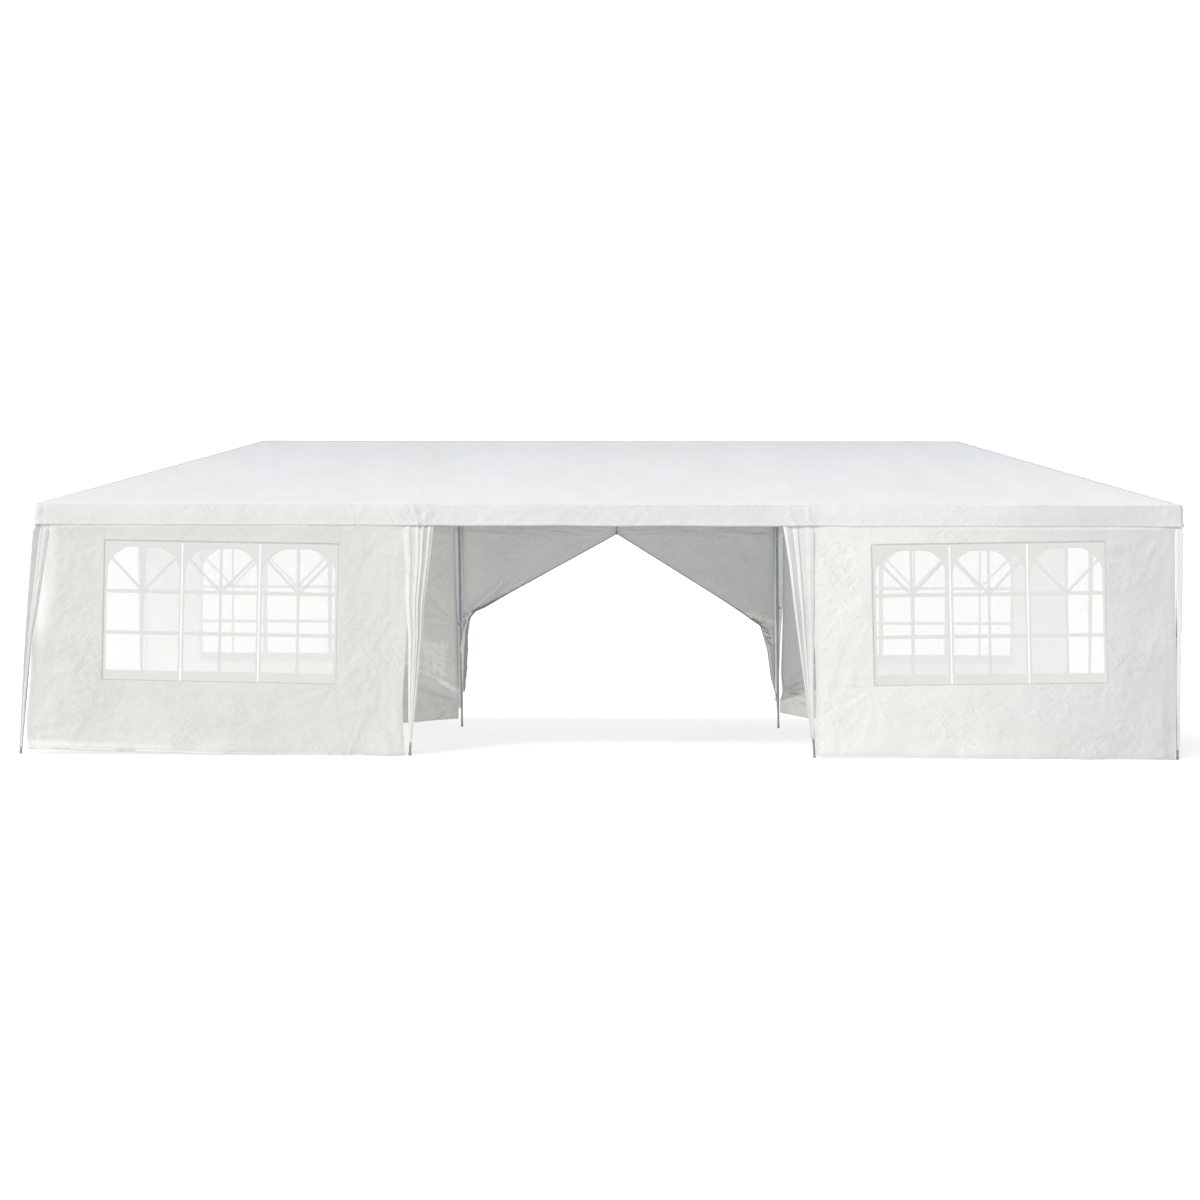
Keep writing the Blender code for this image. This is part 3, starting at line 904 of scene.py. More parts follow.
def two_sided_material(name, inside, outside):
    """A print on a rear wall, its inner face painted darker than its outer one as shade."""
    made = Graph(bpy.data.materials.new(name))
    normal = made.add("NewGeometry", {}).outputs["Normal"]
    facing = made.add("SeparateXYZ", {"Vector": normal}).outputs["Y"]
    colour = made.ramp(made.mapped(facing, -0.2, 0.2, 0, 1), ((0.0, inside), (1.0, outside)))
    made.shade({"Base Color": colour, "Roughness": 0.5})
    return made.owner


# Finishes: each cloth's colours at places along its axis, or at tones

STAIN = (0.955, 0.955, 0.945)
# The cover darkens and cools towards the ridge: painted shade
COVER_STOPS = (
    (1.9, (0.855, 0.85, 0.845)),
    (2.0, (0.855, 0.85, 0.845)),
    (2.25, (0.804, 0.806, 0.82)),
    (2.6, (0.716, 0.736, 0.746)),
)
# The band's colour along x is painted light and shade, darkest towards its right end
VALANCE_STOPS = (
    (-4.5, (0.785, 0.785, 0.775)),
    (-1.55, (0.785, 0.785, 0.775)),
    (-1.3, (0.762, 0.762, 0.752)),
    (-0.8, (0.78, 0.78, 0.775)),
    (-0.2, (0.755, 0.755, 0.75)),
    (0.8, (0.755, 0.755, 0.75)),
    (1.3, (0.742, 0.742, 0.732)),
    (1.8, (0.812, 0.812, 0.802)),
    (2.6, (0.805, 0.803, 0.795)),
    (3.1, (0.776, 0.776, 0.77)),
    (3.5, (0.731, 0.731, 0.73)),
    (4.2, (0.69, 0.692, 0.69)),
    (4.4, (0.73, 0.732, 0.73)),
)
# A leg strip's colour by its tone: painted shade in the folds' valleys and on the corner's side away from the
# light, painted highlight on the ridges, and the rear middle strips' painted pale bluish light
STRIP_STOPS = (
    (0.0, (0.675, 0.68, 0.687)),
    (0.35, (0.745, 0.748, 0.75)),
    (0.5, (0.815, 0.815, 0.808)),
    (0.8, (0.86, 0.86, 0.85)),
    (1.0, (0.9, 0.9, 0.885)),
    (PAINTED_BLUE_LIGHT, (0.93, 0.96, 0.968)),
)
# The front left wall: its first two stops are a painted contact shadow at the foot and painted sunlight; the
# rest follow x
FRONT_LEFT_STOPS = (
    (FOOT_SHADOW, (0.68, 0.64, 0.6)),
    (SUNLIT, (0.96, 0.955, 0.94)),
    (-4.6, (0.775, 0.77, 0.745)),
    (-4.0, (0.765, 0.76, 0.733)),
    (-1.9, (0.76, 0.755, 0.728)),
    (-1.4, (0.8, 0.79, 0.765)),
)
# The front right wall: painted light at its left edge's tone, and painted shade darkening towards its right
# end, where the cloth turns from the light
FRONT_RIGHT_STOPS = (
    (SUNLIT_EDGE, (0.86, 0.855, 0.835)),
    (2.6, (0.835, 0.83, 0.81)),
    (3.4, (0.768, 0.766, 0.755)),
    (4.1, (0.715, 0.717, 0.71)),
    (4.5, (0.705, 0.71, 0.7)),
)
# The rear walls and door halves: darker in the middle and paler at the ends, which are seen through the
# windows, as painted shade and light. The drawn-in stop is painted shade, the crumpled one a painted
# highlight, the kicked-out one painted sunlight and the rolled-under one painted deep shade
REAR_STOPS = (
    (DRAWN_IN_SHADE, (0.745, 0.76, 0.738)),
    (-4.5, (0.9, 0.9, 0.88)),
    (CRUMPLED_HIGHLIGHT, (0.93, 0.915, 0.885)),
    (-2.0, (0.88, 0.87, 0.85)),
    (-1.8, (0.81, 0.8, 0.773)),
    (-1.3, (0.79, 0.785, 0.77)),
    (-1.2, (0.745, 0.75, 0.745)),
    (0.0, (0.735, 0.738, 0.73)),
    (1.3, (0.705, 0.707, 0.703)),
    (1.5, (0.7, 0.71, 0.71)),
    (1.9, (0.79, 0.78, 0.76)),
    (2.1, (0.88, 0.87, 0.85)),
    (4.5, (0.9, 0.9, 0.88)),
    (PAINTED_SUNLIGHT, (0.98, 0.965, 0.935)),
    (PAINTED_DEEP_SHADE, (0.45, 0.44, 0.4)),
)
COVER = cloth_material("cover_cloth", COVER_STOPS, 0.45, 0.2, axis="Z", wrinkled=0.3)
VALANCE_FINISH = cloth_material("valance_cloth", VALANCE_STOPS, 0.45, 0.2, axis="X")
STRIP_FINISH = cloth_material("leg_strip_cloth", STRIP_STOPS, 0.45, 0.36)
REAR_FINISH = cloth_material("wall_cloth_rear", REAR_STOPS, 0.5, 0.24)
WALL_FINISHES = {
    "front_left": cloth_material("wall_cloth_front_left", FRONT_LEFT_STOPS, 0.5, 0.28),
    "front_right": cloth_material("wall_cloth_front_right", FRONT_RIGHT_STOPS, 0.5, 0.28),
    "rear_left": REAR_FINISH,
    "rear_right": REAR_FINISH,
}
# Both films are the same clear film; the front one's much greater haze paints the light it catches, and the
# rear one is left nearly clear
FILMS = {
    "front": film_material("window_film_front", 0.54, (0.81, 0.81, 0.797)),
    "rear": film_material("window_film_rear", 0.07, (0.8, 0.8, 0.79)),
}
# The rear bars' darker inner faces are painted shade
PRINTS = {
    "front": mottled_material("printed_bars_front", (0.61, 0.607, 0.585), (0.59, 0.587, 0.565), 0.5, grain=3),
    "rear": two_sided_material("printed_bars_rear", (0.43, 0.427, 0.41), (0.66, 0.655, 0.635)),
}
TAPE = mottled_material("white_tape", (0.9, 0.9, 0.89), (0.86, 0.86, 0.85), 0.5, grain=40)
# Dark stitching; round a window it is also the painted shadow of the film's turned lap
STITCHING_AND_LAP_SHADOW = mottled_material("stitching_and_lap_shadow", (0.5, 0.49, 0.47), (0.36, 0.36, 0.35), 0.7, grain=60)
STEEL = mottled_material("steel_tube", (0.34, 0.35, 0.36), (0.27, 0.28, 0.29), 0.38, 0.5)
FITTING = mottled_material("steel_connector", (0.42, 0.44, 0.46), (0.35, 0.37, 0.39), 0.4, 0.6)
ELASTIC = mottled_material("elastic", (0.82, 0.82, 0.8), (0.65, 0.65, 0.65), 0.7, grain=90)
# Dark grey: painted shade on the door's rolled hems, and the colour of the zip's end
HEM_SHADE = mottled_material("turned_hem", (0.3, 0.29, 0.26), (0.2, 0.19, 0.17), 0.7, grain=30)
DARK = mottled_material("dark_button", (0.06, 0.06, 0.065), (0.035, 0.035, 0.04), 0.5, grain=50)


# Frame lines


def leg_line(name):
    """The leg's centre line, as its middle at the top and at the foot."""
    node = frame["nodes"]["leg_" + name]
    points = np.array([node.matrix_world @ v.co for v in node.data.vertices])
    top = points[points[:, 2] > points[:, 2].max() - 0.005].mean(axis=0)
    foot = next(m["pos_m"] for m in frame["record"]["mounts"] if m["name"] == "foot_" + name)
    return top, np.array(foot, float)


LEG_LINES = {name: leg_line(name) for name in LEGS}


def leg_place(name, height):
    """Where the leg's centre line is at a height, or at an array of heights."""
    top, foot = LEG_LINES[name]
    share = np.asarray(height) / top[2]
    return foot[0] + (top[0] - foot[0]) * share, foot[1] + (top[1] - foot[1]) * share


# Roof


def settle(held, rounds=1500):
    """The shape that a light sheet takes when it is held at some points, from 0 down to -1."""
    drop = np.zeros(held.shape)
    for _ in range(rounds):
        around = drop[:-2, 1:-1] + drop[2:, 1:-1] + drop[1:-1, :-2] + drop[1:-1, 2:]
        drop[1:-1, 1:-1] = (around - 0.01) / 4
        drop[held] = 0
    return drop / abs(drop).max()


def rafter_run(side, line, y):
    """x of a middle rafter's line, from the leg's head at the eave to the ridge."""
    head = leg_place(f"{side}_{line}", EAVE_HEIGHT)[0] - CENTRE_X
    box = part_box(f"rafter_{side}_{line}")
    peak = min(box[0][0], box[1][0], key=lambda end: abs(end - CENTRE_X)) - CENTRE_X
    return head + (peak - head) * (HALF_WIDTH - abs(y)) / HALF_WIDTH


def roof_grid():
    step = 2 * HALF_WIDTH / ROOF_CELLS
    xs = np.linspace(-HALF_LENGTH, HALF_LENGTH, round(2 * HALF_LENGTH / step) + 1)
    ys = np.linspace(-HALF_WIDTH, HALF_WIDTH, ROOF_CELLS + 1)
    x, y = np.meshgrid(xs, ys, indexing="ij")
    in_x, in_y = HALF_LENGTH - abs(x), HALF_WIDTH - abs(y)
    inward = np.minimum(in_x, in_y)
    close = step * 0.45
    held = inward < close
    held |= (abs(y) < close) & (abs(x) <= RIDGE_HALF + close)
    held |= abs(in_x - in_y) < close
    ties = []
    for name in LEGS:
        side, line = name.split("_", 1)
        sign = SIDE_SIGN[side]
        head = leg_place(name, EAVE_HEIGHT)[0] - CENTRE_X
        ties.append((head, sign * HALF_WIDTH, *LEG_HEAD_FAN))
        if line.startswith("mid"):
            held |= (abs(x - rafter_run(side, line, y)) < step * 0.6) & (y * sign >= 0)
    for end in (-1, 1):
        ties.append((end * RIDGE_HALF, 0.0, *RIDGE_END_FAN))
    slack = smooth(0, 0.12, inward) * smooth(0, 0.1, abs(in_x - in_y)) * smooth(0, 0.1, abs(y))
    drift = wrinkled(x, y, ROOF_RIPPLES, dragged=ROOF_DRAGS) * slack
    folds = abs(fan_folds(x, y, ties, 5)) * smooth(0, 0.03, inward)
    z = EAVE_HEIGHT + ROOF_RISE * inward + settle(held) * ROOF_SAG + folds + drift
    points = np.stack([x + CENTRE_X + COVER_SHIFT, y, z], axis=-1)
    cut = np.stack([x, y * math.hypot(1, ROOF_RISE)], axis=-1)
    return xs, ys, points, cut


def roof_cover():
    xs, ys, points, cut = roof_grid()
    x, y = np.meshgrid((xs[:-1] + xs[1:]) / 2, (ys[:-1] + ys[1:]) / 2, indexing="ij")
    split = np.where(abs(x) > RIDGE_HALF - 0.1, -np.sign(x * y), 0).astype(int)
    mesh = grid_mesh("roof_cover", points, cut, split=split)
    piece = cloth_piece("roof_cover", mesh, COVER, (0, 0, 1), offset=-1.0)
    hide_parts("roof_front", "roof_rear", "roof_left", "roof_right")
    surface = Surface(xs, ys, points, (0, 0, 1))
    seams = Solid()
    lines = [("ridge", (-RIDGE_HALF, 0.0), (RIDGE_HALF, 0.0))]
    for end in (-1, 1):
        for sign in (-1, 1):
            corner = (end * (HALF_LENGTH - 0.01), sign * (HALF_WIDTH - 0.01))
            lines.append(("hip", (end * RIDGE_HALF, 0.0), corner))
    for kind, start, stop in lines:
        surface.band(seams, [start, stop], WELT_WIDTHS[kind], WELT_LIFT, WELT_THICKNESS)
    welts = seams.finish("roof_seams", COVER, "cover_cloth")


# Valance


def perimeter():
    """Plan points round the eave, and their outward directions, from the front left corner."""
    corners = [(-1, -1), (1, -1), (1, 1), (-1, 1)]
    places, ways = [], []
    for n, (sx, sy) in enumerate(corners):
        next_x, next_y = corners[(n + 1) % 4]
        start = np.array([sx * HALF_LENGTH, sy * HALF_WIDTH])
        end = np.array([next_x * HALF_LENGTH, next_y * HALF_WIDTH])
        length = np.linalg.norm(end - start)
        run = (end - start) / length
        straight = length - 2 * VALANCE_CORNER
        count = round(straight / VALANCE_STEP)
        for k in range(count + 1):
            along = VALANCE_CORNER + straight * k / count
            places.append(start + run * along)
            ways.append((run[1], -run[0]))
    return np.array(places), np.array(ways)


def valance_creases(x, z):
    """Creases that run down the front band at the middle legs, where its leg strips pull at it."""
    out = 0
    for top_x, bottom_x, depth in VALANCE_CREASES:
        line = bottom_x + (top_x - bottom_x) * (z - VALANCE_BOTTOM) / (EAVE_HEIGHT - VALANCE_BOTTOM)
        beyond = x - line
        out = out + depth * smooth(-0.02, 0.0, beyond) * np.exp(-np.clip(beyond, 0, None) / 0.03)
    return out


def valance():
    """The band round the eave, with its hem and the gathers where the leg strips are sewn on."""
    places, ways = perimeter()
    gaps = np.linalg.norm(np.roll(places, -1, axis=0) - places, axis=1)
    along = np.concatenate([[0], np.cumsum(gaps[:-1])])
    hem_top = VALANCE_BOTTOM + HEM_WIDTH
    body_rows = np.linspace(EAVE_HEIGHT - 0.001, hem_top + 0.001, VALANCE_ROWS)
    heights = np.concatenate([body_rows, [hem_top - 0.001, (hem_top + VALANCE_BOTTOM) / 2, VALANCE_BOTTOM]])
    s, z = np.meshgrid(along, heights, indexing="ij")
    down = (EAVE_HEIGHT - z) / (EAVE_HEIGHT - VALANCE_BOTTOM)
    near_leg = np.zeros_like(s)
    for name in LEGS:
        x, y = leg_place(name, EAVE_HEIGHT)
        spot = np.array([x - CENTRE_X, math.copysign(HALF_WIDTH, y)])
        far = np.linalg.norm(places - spot, axis=1)[:, None]
        near_leg = np.maximum(near_leg, bell(far, GATHER_REACH))
    middle_bay = np.exp(-((places[:, 0] / MIDDLE_BAY_REACH) ** 6))[:, None]
    wavy = (0.001 + 0.002 * middle_bay) * ripple(s, z * 2.5, 21, 0.5)
    wavy = wavy + 0.001 * ripple(s, z, 22, 0.12) * middle_bay
    gathers = 0.006 * ripple(s, z * 0.3, 23, 0.05) * near_leg
    slanting = 0.0022 * middle_bay * ripple(s + z * 2.0, z * 0.3, 24, 0.09)
    slanting = slanting + 0.006 * drags(s, z, 27, 0.9, 0.3) * (0.12 + middle_bay)
    fine = 0.002 * creases(s, z, 25, 0.2) * (0.3 + middle_bay)
    out = (wavy + gathers + slanting + fine) * smooth(0, 0.25, down)
    on_front = (places[:, 1] < 0)[:, None]
    out = out + on_front * valance_creases(places[:, :1] + 0 * s, z)
    out = np.maximum(out, -0.0006) + 0.0006 + 0.009 * near_leg * down
    out = out + HEM_RAISE * (z < hem_top)
    drop = 0.0018 * ripple(s, 0 * s, 26, 0.5) * down
    plan = places[:, None, :] + ways[:, None, :] * out[:, :, None]
    points = np.dstack([plan[:, :, 0] + CENTRE_X + COVER_SHIFT, plan[:, :, 1], z - drop])
    mesh = grid_mesh("valance", points, np.stack([s, z], axis=-1), close=True)
    front = [face for face in mesh.polygons if face.center.y < -HALF_WIDTH + 0.05]
    if sum(face.normal.y for face in front) > 0:
        mesh.flip_normals()
    piece = cloth_piece("valance", mesh, VALANCE_FINISH, offset=-1.0)
    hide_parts("valance_front", "valance_rear", "valance_left", "valance_right")


# Leg strips


def at_height(values, height):
    """A strip's value at a height, from those at STRIP_HEIGHTS."""
    return np.interp(height, STRIP_HEIGHTS, values)


def strip_plan(name, share, height):
    """Plan points and outward directions across a strip at a height.

    On a middle leg share runs from 0 at the left edge to 1 at the right one. On a corner leg
    it runs from -1 at the edge on the end side, through 0 at the corner, to 1 on the long side.
    """
    about = STRIPS[name]
    sign = SIDE_SIGN[side_of(name)]
    leg_x, _ = leg_place(name, height)
    close = smooth(VALANCE_BOTTOM - 0.05, VALANCE_BOTTOM, height)
    low = smooth(0.45, 0.08, height)
    face_y = sign * (HALF_WIDTH + 0.003 - 0.006 * close - 0.014 * low)
    if "mid" in name:
        left, right = at_height(about["left"], height), at_height(about["right"], height)
        x = leg_x - left + (left + right) * share
        return x, face_y + 0 * share, 0 * share, sign + 0 * share
    end = -1 if name.endswith("left") else 1
    stand = at_height(about["stand"], height) - 0.003 * close
    long_reach = stand + at_height(about["reach"], height)
    foot_reach, top_reach = STRIP_END_REACH
    end_reach = foot_reach + (top_reach - foot_reach) * np.clip(height / VALANCE_BOTTOM, 0, 1)
    corner_x = leg_x + end * stand
    tucked_x = CENTRE_X + COVER_SHIFT + end * (HALF_LENGTH - 0.005)
    if end * (corner_x - tucked_x) > 0:
        corner_x = corner_x + (tucked_x - corner_x) * close
    x = corner_x - end * long_reach * np.maximum(share, 0)
    y = face_y + sign * end_reach * np.minimum(share, 0)
    turn = smooth(-0.12, 0.12, share) * math.pi / 2
    return x, y, end * np.cos(turn), sign * np.sin(turn)


def strip_width(name, height):
    """How wide a strip is at a height, on its long side."""
    about = STRIPS[name]
    sides = ("left", "right") if "left" in about else ("stand", "reach")
    return sum(float(at_height(about[side], height)) for side in sides)


def strip_points(name, seed):
    """A strip's points, across it and down, and how pale each is painted, as painted highlight and shade."""
    about = STRIPS[name]
    share = np.linspace(0 if "mid" in name else -1, 1, STRIP_COLUMNS)
    folded = abs(share)
    places, stands, tones = zip(*about["folds"])
    waver = np.random.RandomState(seed).uniform(0, 6, 3)
    beside_wall = smooth(0.2, 0.02, share) if name.endswith("mid_left") else smooth(0.8, 0.98, share)
    heights = np.linspace(STRIP_TOP, about["foot"], STRIP_ROWS)
    points = np.zeros((STRIP_COLUMNS, STRIP_ROWS, 3))
    pale = np.zeros((STRIP_COLUMNS, STRIP_ROWS))
    for j, height in enumerate(heights):
        sway = 0.03 * math.sin(height * 2.3 + waver[0]) + 0.015 * math.sin(height * 6.1 + waver[1])
        if name == "front_right":
            sway += 0.3 * bell(height - KINK_HEIGHT, 0.1)
        shifted = np.clip(folded + sway * np.sin(folded * math.pi), 0, 1)
        open_up = 0.15 + 0.85 * smooth(VALANCE_BOTTOM + 0.012, VALANCE_BOTTOM - 0.05, height)
        deep = STRIP_DEPTH * strip_width(name, height) * (1 + 0.2 * math.sin(height * 3.7 + waver[2]))
        out = deep * open_up * np.interp(shifted, places, stands) + 0.001 - 0.005 * beside_wall
        out = out + 0.0012 * ripple(share * 0.2, height + 0 * share, seed, 0.1) * open_up
        x, y, way_x, way_y = strip_plan(name, share, height)
        points[:, j] = np.stack([x + way_x * out, y + way_y * out, height + 0 * share], axis=1)
        # Painted highlight and shade that follow the folds
        pale[:, j] = np.interp(shifted, places, tones) + 0.1 * math.sin(height * 5.0 + waver[1])
    return points, np.clip(pale, 0, 1)


def leg_strip(name, seed):
    """The pleated cloth strip that runs from behind the valance down a leg to its foot."""
    points, tone = strip_points(name, seed)
    # The rear middle strips, shaded inside, are painted an even pale bluish light
    if name.startswith("rear_mid"):
        tone = np.full_like(tone, PAINTED_BLUE_LIGHT)
    wide = abs(np.diff(points[:, STRIP_MEASURED_ROW, :2], axis=0)).sum()
    u, v = np.meshgrid(np.linspace(0, wide, STRIP_COLUMNS), points[0, :, 2], indexing="ij")
    mesh = grid_mesh(f"leg_strip_{name}", points, np.stack([u, v], axis=-1), tone=tone)
    outward = (0, SIDE_SIGN[side_of(name)], 0)
    piece = cloth_piece(f"leg_strip_{name}", mesh, STRIP_FINISH, outward, offset=-1.0)


# Sidewalls


def even_lines(stops, step):
    """Grid lines that pass through each stop, about a step apart."""
    lines = [stops[0]]
    for low, high in zip(stops, stops[1:]):
        count = max(1, round((high - low) / step))
        lines += [low + (high - low) * n / count for n in range(1, count + 1)]
    return np.array(lines)


def wall_wrinkles(u, v, half, sill, seed):
    """Creases all over a wall, with drags beside and under its window."""
    beside = smooth(-0.1, 0.2, abs(u) - half) * wrinkled(u, v, dragged=BESIDE_DRAGS, seed=seed)
    under = smooth(sill + 0.1, sill - 0.15, v) * wrinkled(u, v, dragged=UNDER_DRAGS, seed=seed)
    return wrinkled(u, v, WALL_RIPPLES, WALL_CREASES, seed=seed) + beside + under


def wall_shape(name, u, v, seed):
    """How far the wall's cloth stands off its plane: billow, pleats, creases and drags."""
    about = WALLS[name]
    half, sill, top = window_box(name)
    edges = {"left": u.min(), "right": u.max()}
    from_edge = np.minimum(u - edges["left"], edges["right"] - u)
    off_window = np.maximum(abs(u) - half, np.maximum(v - top, sill - v))
    clear = smooth(-0.03, 0.1, off_window)
    held = [(edges[edge], height, depth, reach) for edge, height, depth, reach in about["fans"]]
    for corner in (-half, half):
        held += [(corner, sill, *WINDOW_SILL_FAN), (corner, top, *WINDOW_TOP_FAN)]
    left_pleats, right_pleats = about["pleats"]
    pleats = left_pleats * np.exp((edges["left"] - u) / 0.1)
    pleats = pleats + right_pleats * np.exp((u - edges["right"]) / 0.1)
    pleats = pleats * ripple(u, v * 0.07, seed + 2, 0.075)
    out = 0.013 * ripple(u, v * 0.8, seed, 1.5, 8) * (0.35 + 0.65 * clear)
    out = out + 0.004 * ripple(u, v, seed + 1, 0.45) * (0.2 + 0.8 * clear)
    out = out + (wall_wrinkles(u, v, half, sill, seed) + pleats) * clear
    out = out + fan_folds(u, v, held, seed + 10) * (0.15 + 0.85 * clear)
    out = out + smooth(0.16, 0.0, v) * (0.01 + 0.014 * ripple(u, 0 * v, seed + 11, 0.4))
    out = out * smooth(WALL_TOP - 0.05, 1.6, v) * (0.3 + 0.7 * smooth(0.0, 0.16, from_edge))
    return out + 0.0036 * bell(v - VALANCE_BOTTOM + 0.02, 0.032)


def line_height(line, x):
    """Height at x of a line that is given as a point's x and height, and a slope."""
    place, height, slope = line
    return height + slope * (x - place)


def gathered_corner(x, v):
    """The rear right wall's lower left corner: drawn in to its tie, its hem kicked outward."""
    near = smooth(2.3, 1.7, x)
    below = line_height(CORNER_CREASE, x) - v
    return near * (0.01 * smooth(-0.16, 0.0, below) + 0.4 * np.clip(below, 0, 0.14))


def crumpled_patch(x, v, seed):
    """The rear left wall's crumpled square of cloth, which shows beside the door."""
    (left, low), (right, high) = CRUMPLED_PATCH
    inside = smooth(left - 0.01, left + 0.01, x) * smooth(right + 0.01, right - 0.01, x)
    inside = inside * smooth(low - 0.01, low + 0.01, v) * smooth(high + 0.01, high - 0.01, v)
    return inside * wrinkled(x, v, PATCH_RIPPLES, PATCH_CREASES, seed=seed)


def slanting_fold(x, v, seed):
    """The rear left wall's fold down to its lower tie, with the cloth below it drawn in."""
    below = line_height(SLANTING_FOLD, x) - v
    crumpled = 0.009 * creases(x, v, seed + 15, 0.05) * bell(below + 0.09, 0.1)
    ridge = 0.012 * bell(below, 0.018)
    return smooth(-2.15, -1.85, x) * (0.3 * np.clip(below, 0, 0.16) - ridge - crumpled)


def wall_surface(name, seed):
    """The sidewall's cloth, window included, as a surface over its cut coordinates.

    The cut runs across from the window's middle and up from the ground.
    """
    about = WALLS[name]
    sign = SIDE_SIGN[side_of(name)]
    middle, _, shear = about["window"]
    half, sill, top = window_box(name)
    head_left = about["left"][-1][1] - middle
    head_right = about["right"][-1][1] - middle
    across = even_lines([head_left, -half, half, head_right], WALL_STEP)
    up = even_lines([0, HEM_WIDTH, sill, top, VALANCE_BOTTOM, WALL_TOP], WALL_STEP)
    u, v = np.meshgrid(across, up, indexing="ij")
    slide = middle + shear * (top - v) / WINDOW_HEIGHT
    left_share = np.clip((u + half) / (head_left + half), 0, 1)
    right_share = np.clip((u - half) / (head_right - half), 0, 1)
    x = slide + np.clip(u, -half, half)
    x = x + left_share * (edge_x(name, "left", v) - (slide - half))
    x = x + right_share * (edge_x(name, "right", v) - (slide + half))
    out = wall_shape(name, u, v, seed)
    if name == "rear_right":
        out = out + gathered_corner(x, v)
    if name == "rear_left":
        out = out + slanting_fold(x, v, seed) + crumpled_patch(x, v, seed)
    foot = foot_height(name, x) + 0.004 * ripple(u, 0 * v, seed + 12, 0.5)
    z = np.where(v < sill, sill - (sill - v) * (sill - foot) / sill, v)
    drop, lean = about["hang"]
    hung = drop + lean * np.clip(u / half, -1, 1)
    z = z + hung * smooth(0, sill, v) * smooth(VALANCE_BOTTOM, top, v)
    points = np.stack([x + CENTRE_X, sign * (WALL_FACE + out), np.maximum(z, 0.002)], axis=-1)
    return Surface(across, up, points, (0, sign, 0))


def line_shade(x, z, lines, width):
    """1 on any of the lines, each from (x, z) to (x, z), falling away at a width from it."""
    shade = 0 * x
    for (start_x, start_z), (end_x, end_z) in lines:
        run, rise = end_x - start_x, end_z - start_z
        share = ((x - start_x) * run + (z - start_z) * rise) / (run**2 + rise**2)
        share = np.clip(share, 0, 1)
        off = np.hypot(x - start_x - share * run, z - start_z - share * rise)
        shade = np.maximum(shade, bell(off, width))
    return shade


# Tones of the walls: the place in its finish's stops of each point, mostly its x


def under_valance(z):
    """1 on the strip of a wall that lies right under the valance, 0 below it."""
    return smooth(VALANCE_BOTTOM - 0.024, VALANCE_BOTTOM - 0.004, z)


def front_left_tone(x, z):
    """Painted sunlight beside its leg strip, along its hem and under the valance, and a painted contact
    shadow at its foot.
    """
    above_foot = z - foot_height("front_left", x)
    at_strip = bell(x - edge_x("front_left", "left", z), 0.13) * smooth(0.8, 1.1, z)
    at_hem = 0.6 * smooth(-2.3, -3.6, x) * bell(above_foot - 0.045, 0.035)
    pale = np.maximum(np.maximum(at_strip, at_hem), 0.8 * under_valance(z))
    # A broken dark line along the foot is a painted contact shadow, and the pale share is painted sunlight
    foot_shadow = (above_foot < 0.008) & (x < -1.9) & (ripple(x, 0 * x, 31, 0.6) > -0.5)
    return np.where(foot_shadow, FOOT_SHADOW, x + (SUNLIT - x) * pale)


# Painted light on the strip right under the valance, which hides the valance's shadow on the wall
def front_right_tone(x, z):
    return x - (x - SUNLIT_EDGE) * 0.8 * under_valance(z)


def rear_left_tone(x, z):
    """Painted mottled highlights on the crumpled patch and on the fold, and painted shade where it is drawn
    in below.
    """
    (left, low), (right, high) = CRUMPLED_PATCH
    above = z >= line_height(SLANTING_FOLD, x)
    in_patch = (x > left) & (x < right) & (z > low) & (z < high) & above
    fold = [(end, line_height(SLANTING_FOLD, end)) for end in LIT_FOLD]
    on_fold = line_shade(x, z, [fold], 0.022) > 0.4
    mottled = np.clip(0.55 + 0.7 * ripple(x, z, 33, 0.045), 0, 1)
    painted_shade = smooth(-2.5, -2.0, x) * ~above
    return np.where(in_patch | on_fold, x + (CRUMPLED_HIGHLIGHT - x) * mottled, x + (DRAWN_IN_SHADE - x) * painted_shade)


def rear_right_tone(x, z):
    """Painted sunlight below the crease of its gathered corner."""
    return x + (PAINTED_SUNLIGHT - x) * smooth(2.6, 2.0, x) * (z < line_height(CORNER_CREASE, x))


WALL_TONES = {
    "front_left": front_left_tone,
    "front_right": front_right_tone,
    "rear_left": rear_left_tone,
    "rear_right": rear_right_tone,
}


def wall_cloth(name, surface):
    """The wall's sheet, open at its window, with its hems and the window's film."""
    half, sill, top = window_box(name)
    u = (surface.across[:-1] + surface.across[1:]) / 2
    v = (surface.up[:-1] + surface.up[1:]) / 2
    middle_u, middle_v = np.meshgrid(u, v, indexing="ij")
    window = (abs(middle_u) < half) & (middle_v > sill) & (middle_v < top)
    cut = np.stack(np.meshgrid(surface.across, surface.up, indexing="ij"), axis=-1)
    tone = WALL_TONES[name](surface.points[..., 0] - CENTRE_X, surface.points[..., 2])
    mesh = grid_mesh(f"sidewall_{name}", surface.points, cut, keep=~window, tone=tone)
    piece = cloth_piece(f"sidewall_{name}", mesh, WALL_FINISHES[name], surface.outward)
    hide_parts(f"wall_{name}")
    window_film(name, surface)
    wall_hems(name, surface)


def window_film(name, surface):
    """The window's clear film, sewn on behind the opening."""
    half, sill, top = window_box(name)
    half, sill, top = half + FILM_LAP, sill - FILM_LAP, top + FILM_LAP
    points, cut = surface.patch(-half, half, sill, top, 0.03, -CLOTH / 2 - FILM)
    mesh = grid_mesh(f"film_{name}", points, cut)
    finish = FILMS[side_of(name)]
    piece = cloth_piece(f"film_{name}", mesh, finish, surface.outward, FILM)
    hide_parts(f"window_film_{name}")


def arch_points(centre, top, half):
    """The flattened arch of one light, from its left foot to its right foot."""
    turns = np.linspace(math.pi, 0, ARCH_STEPS + 1)
    u = centre + half * np.cos(turns)
    v = np.minimum(top - ARCH_FOOT_DROP + ARCH_RISE * np.sin(turns), top - ARCH_TOP_DROP)
    return u, v


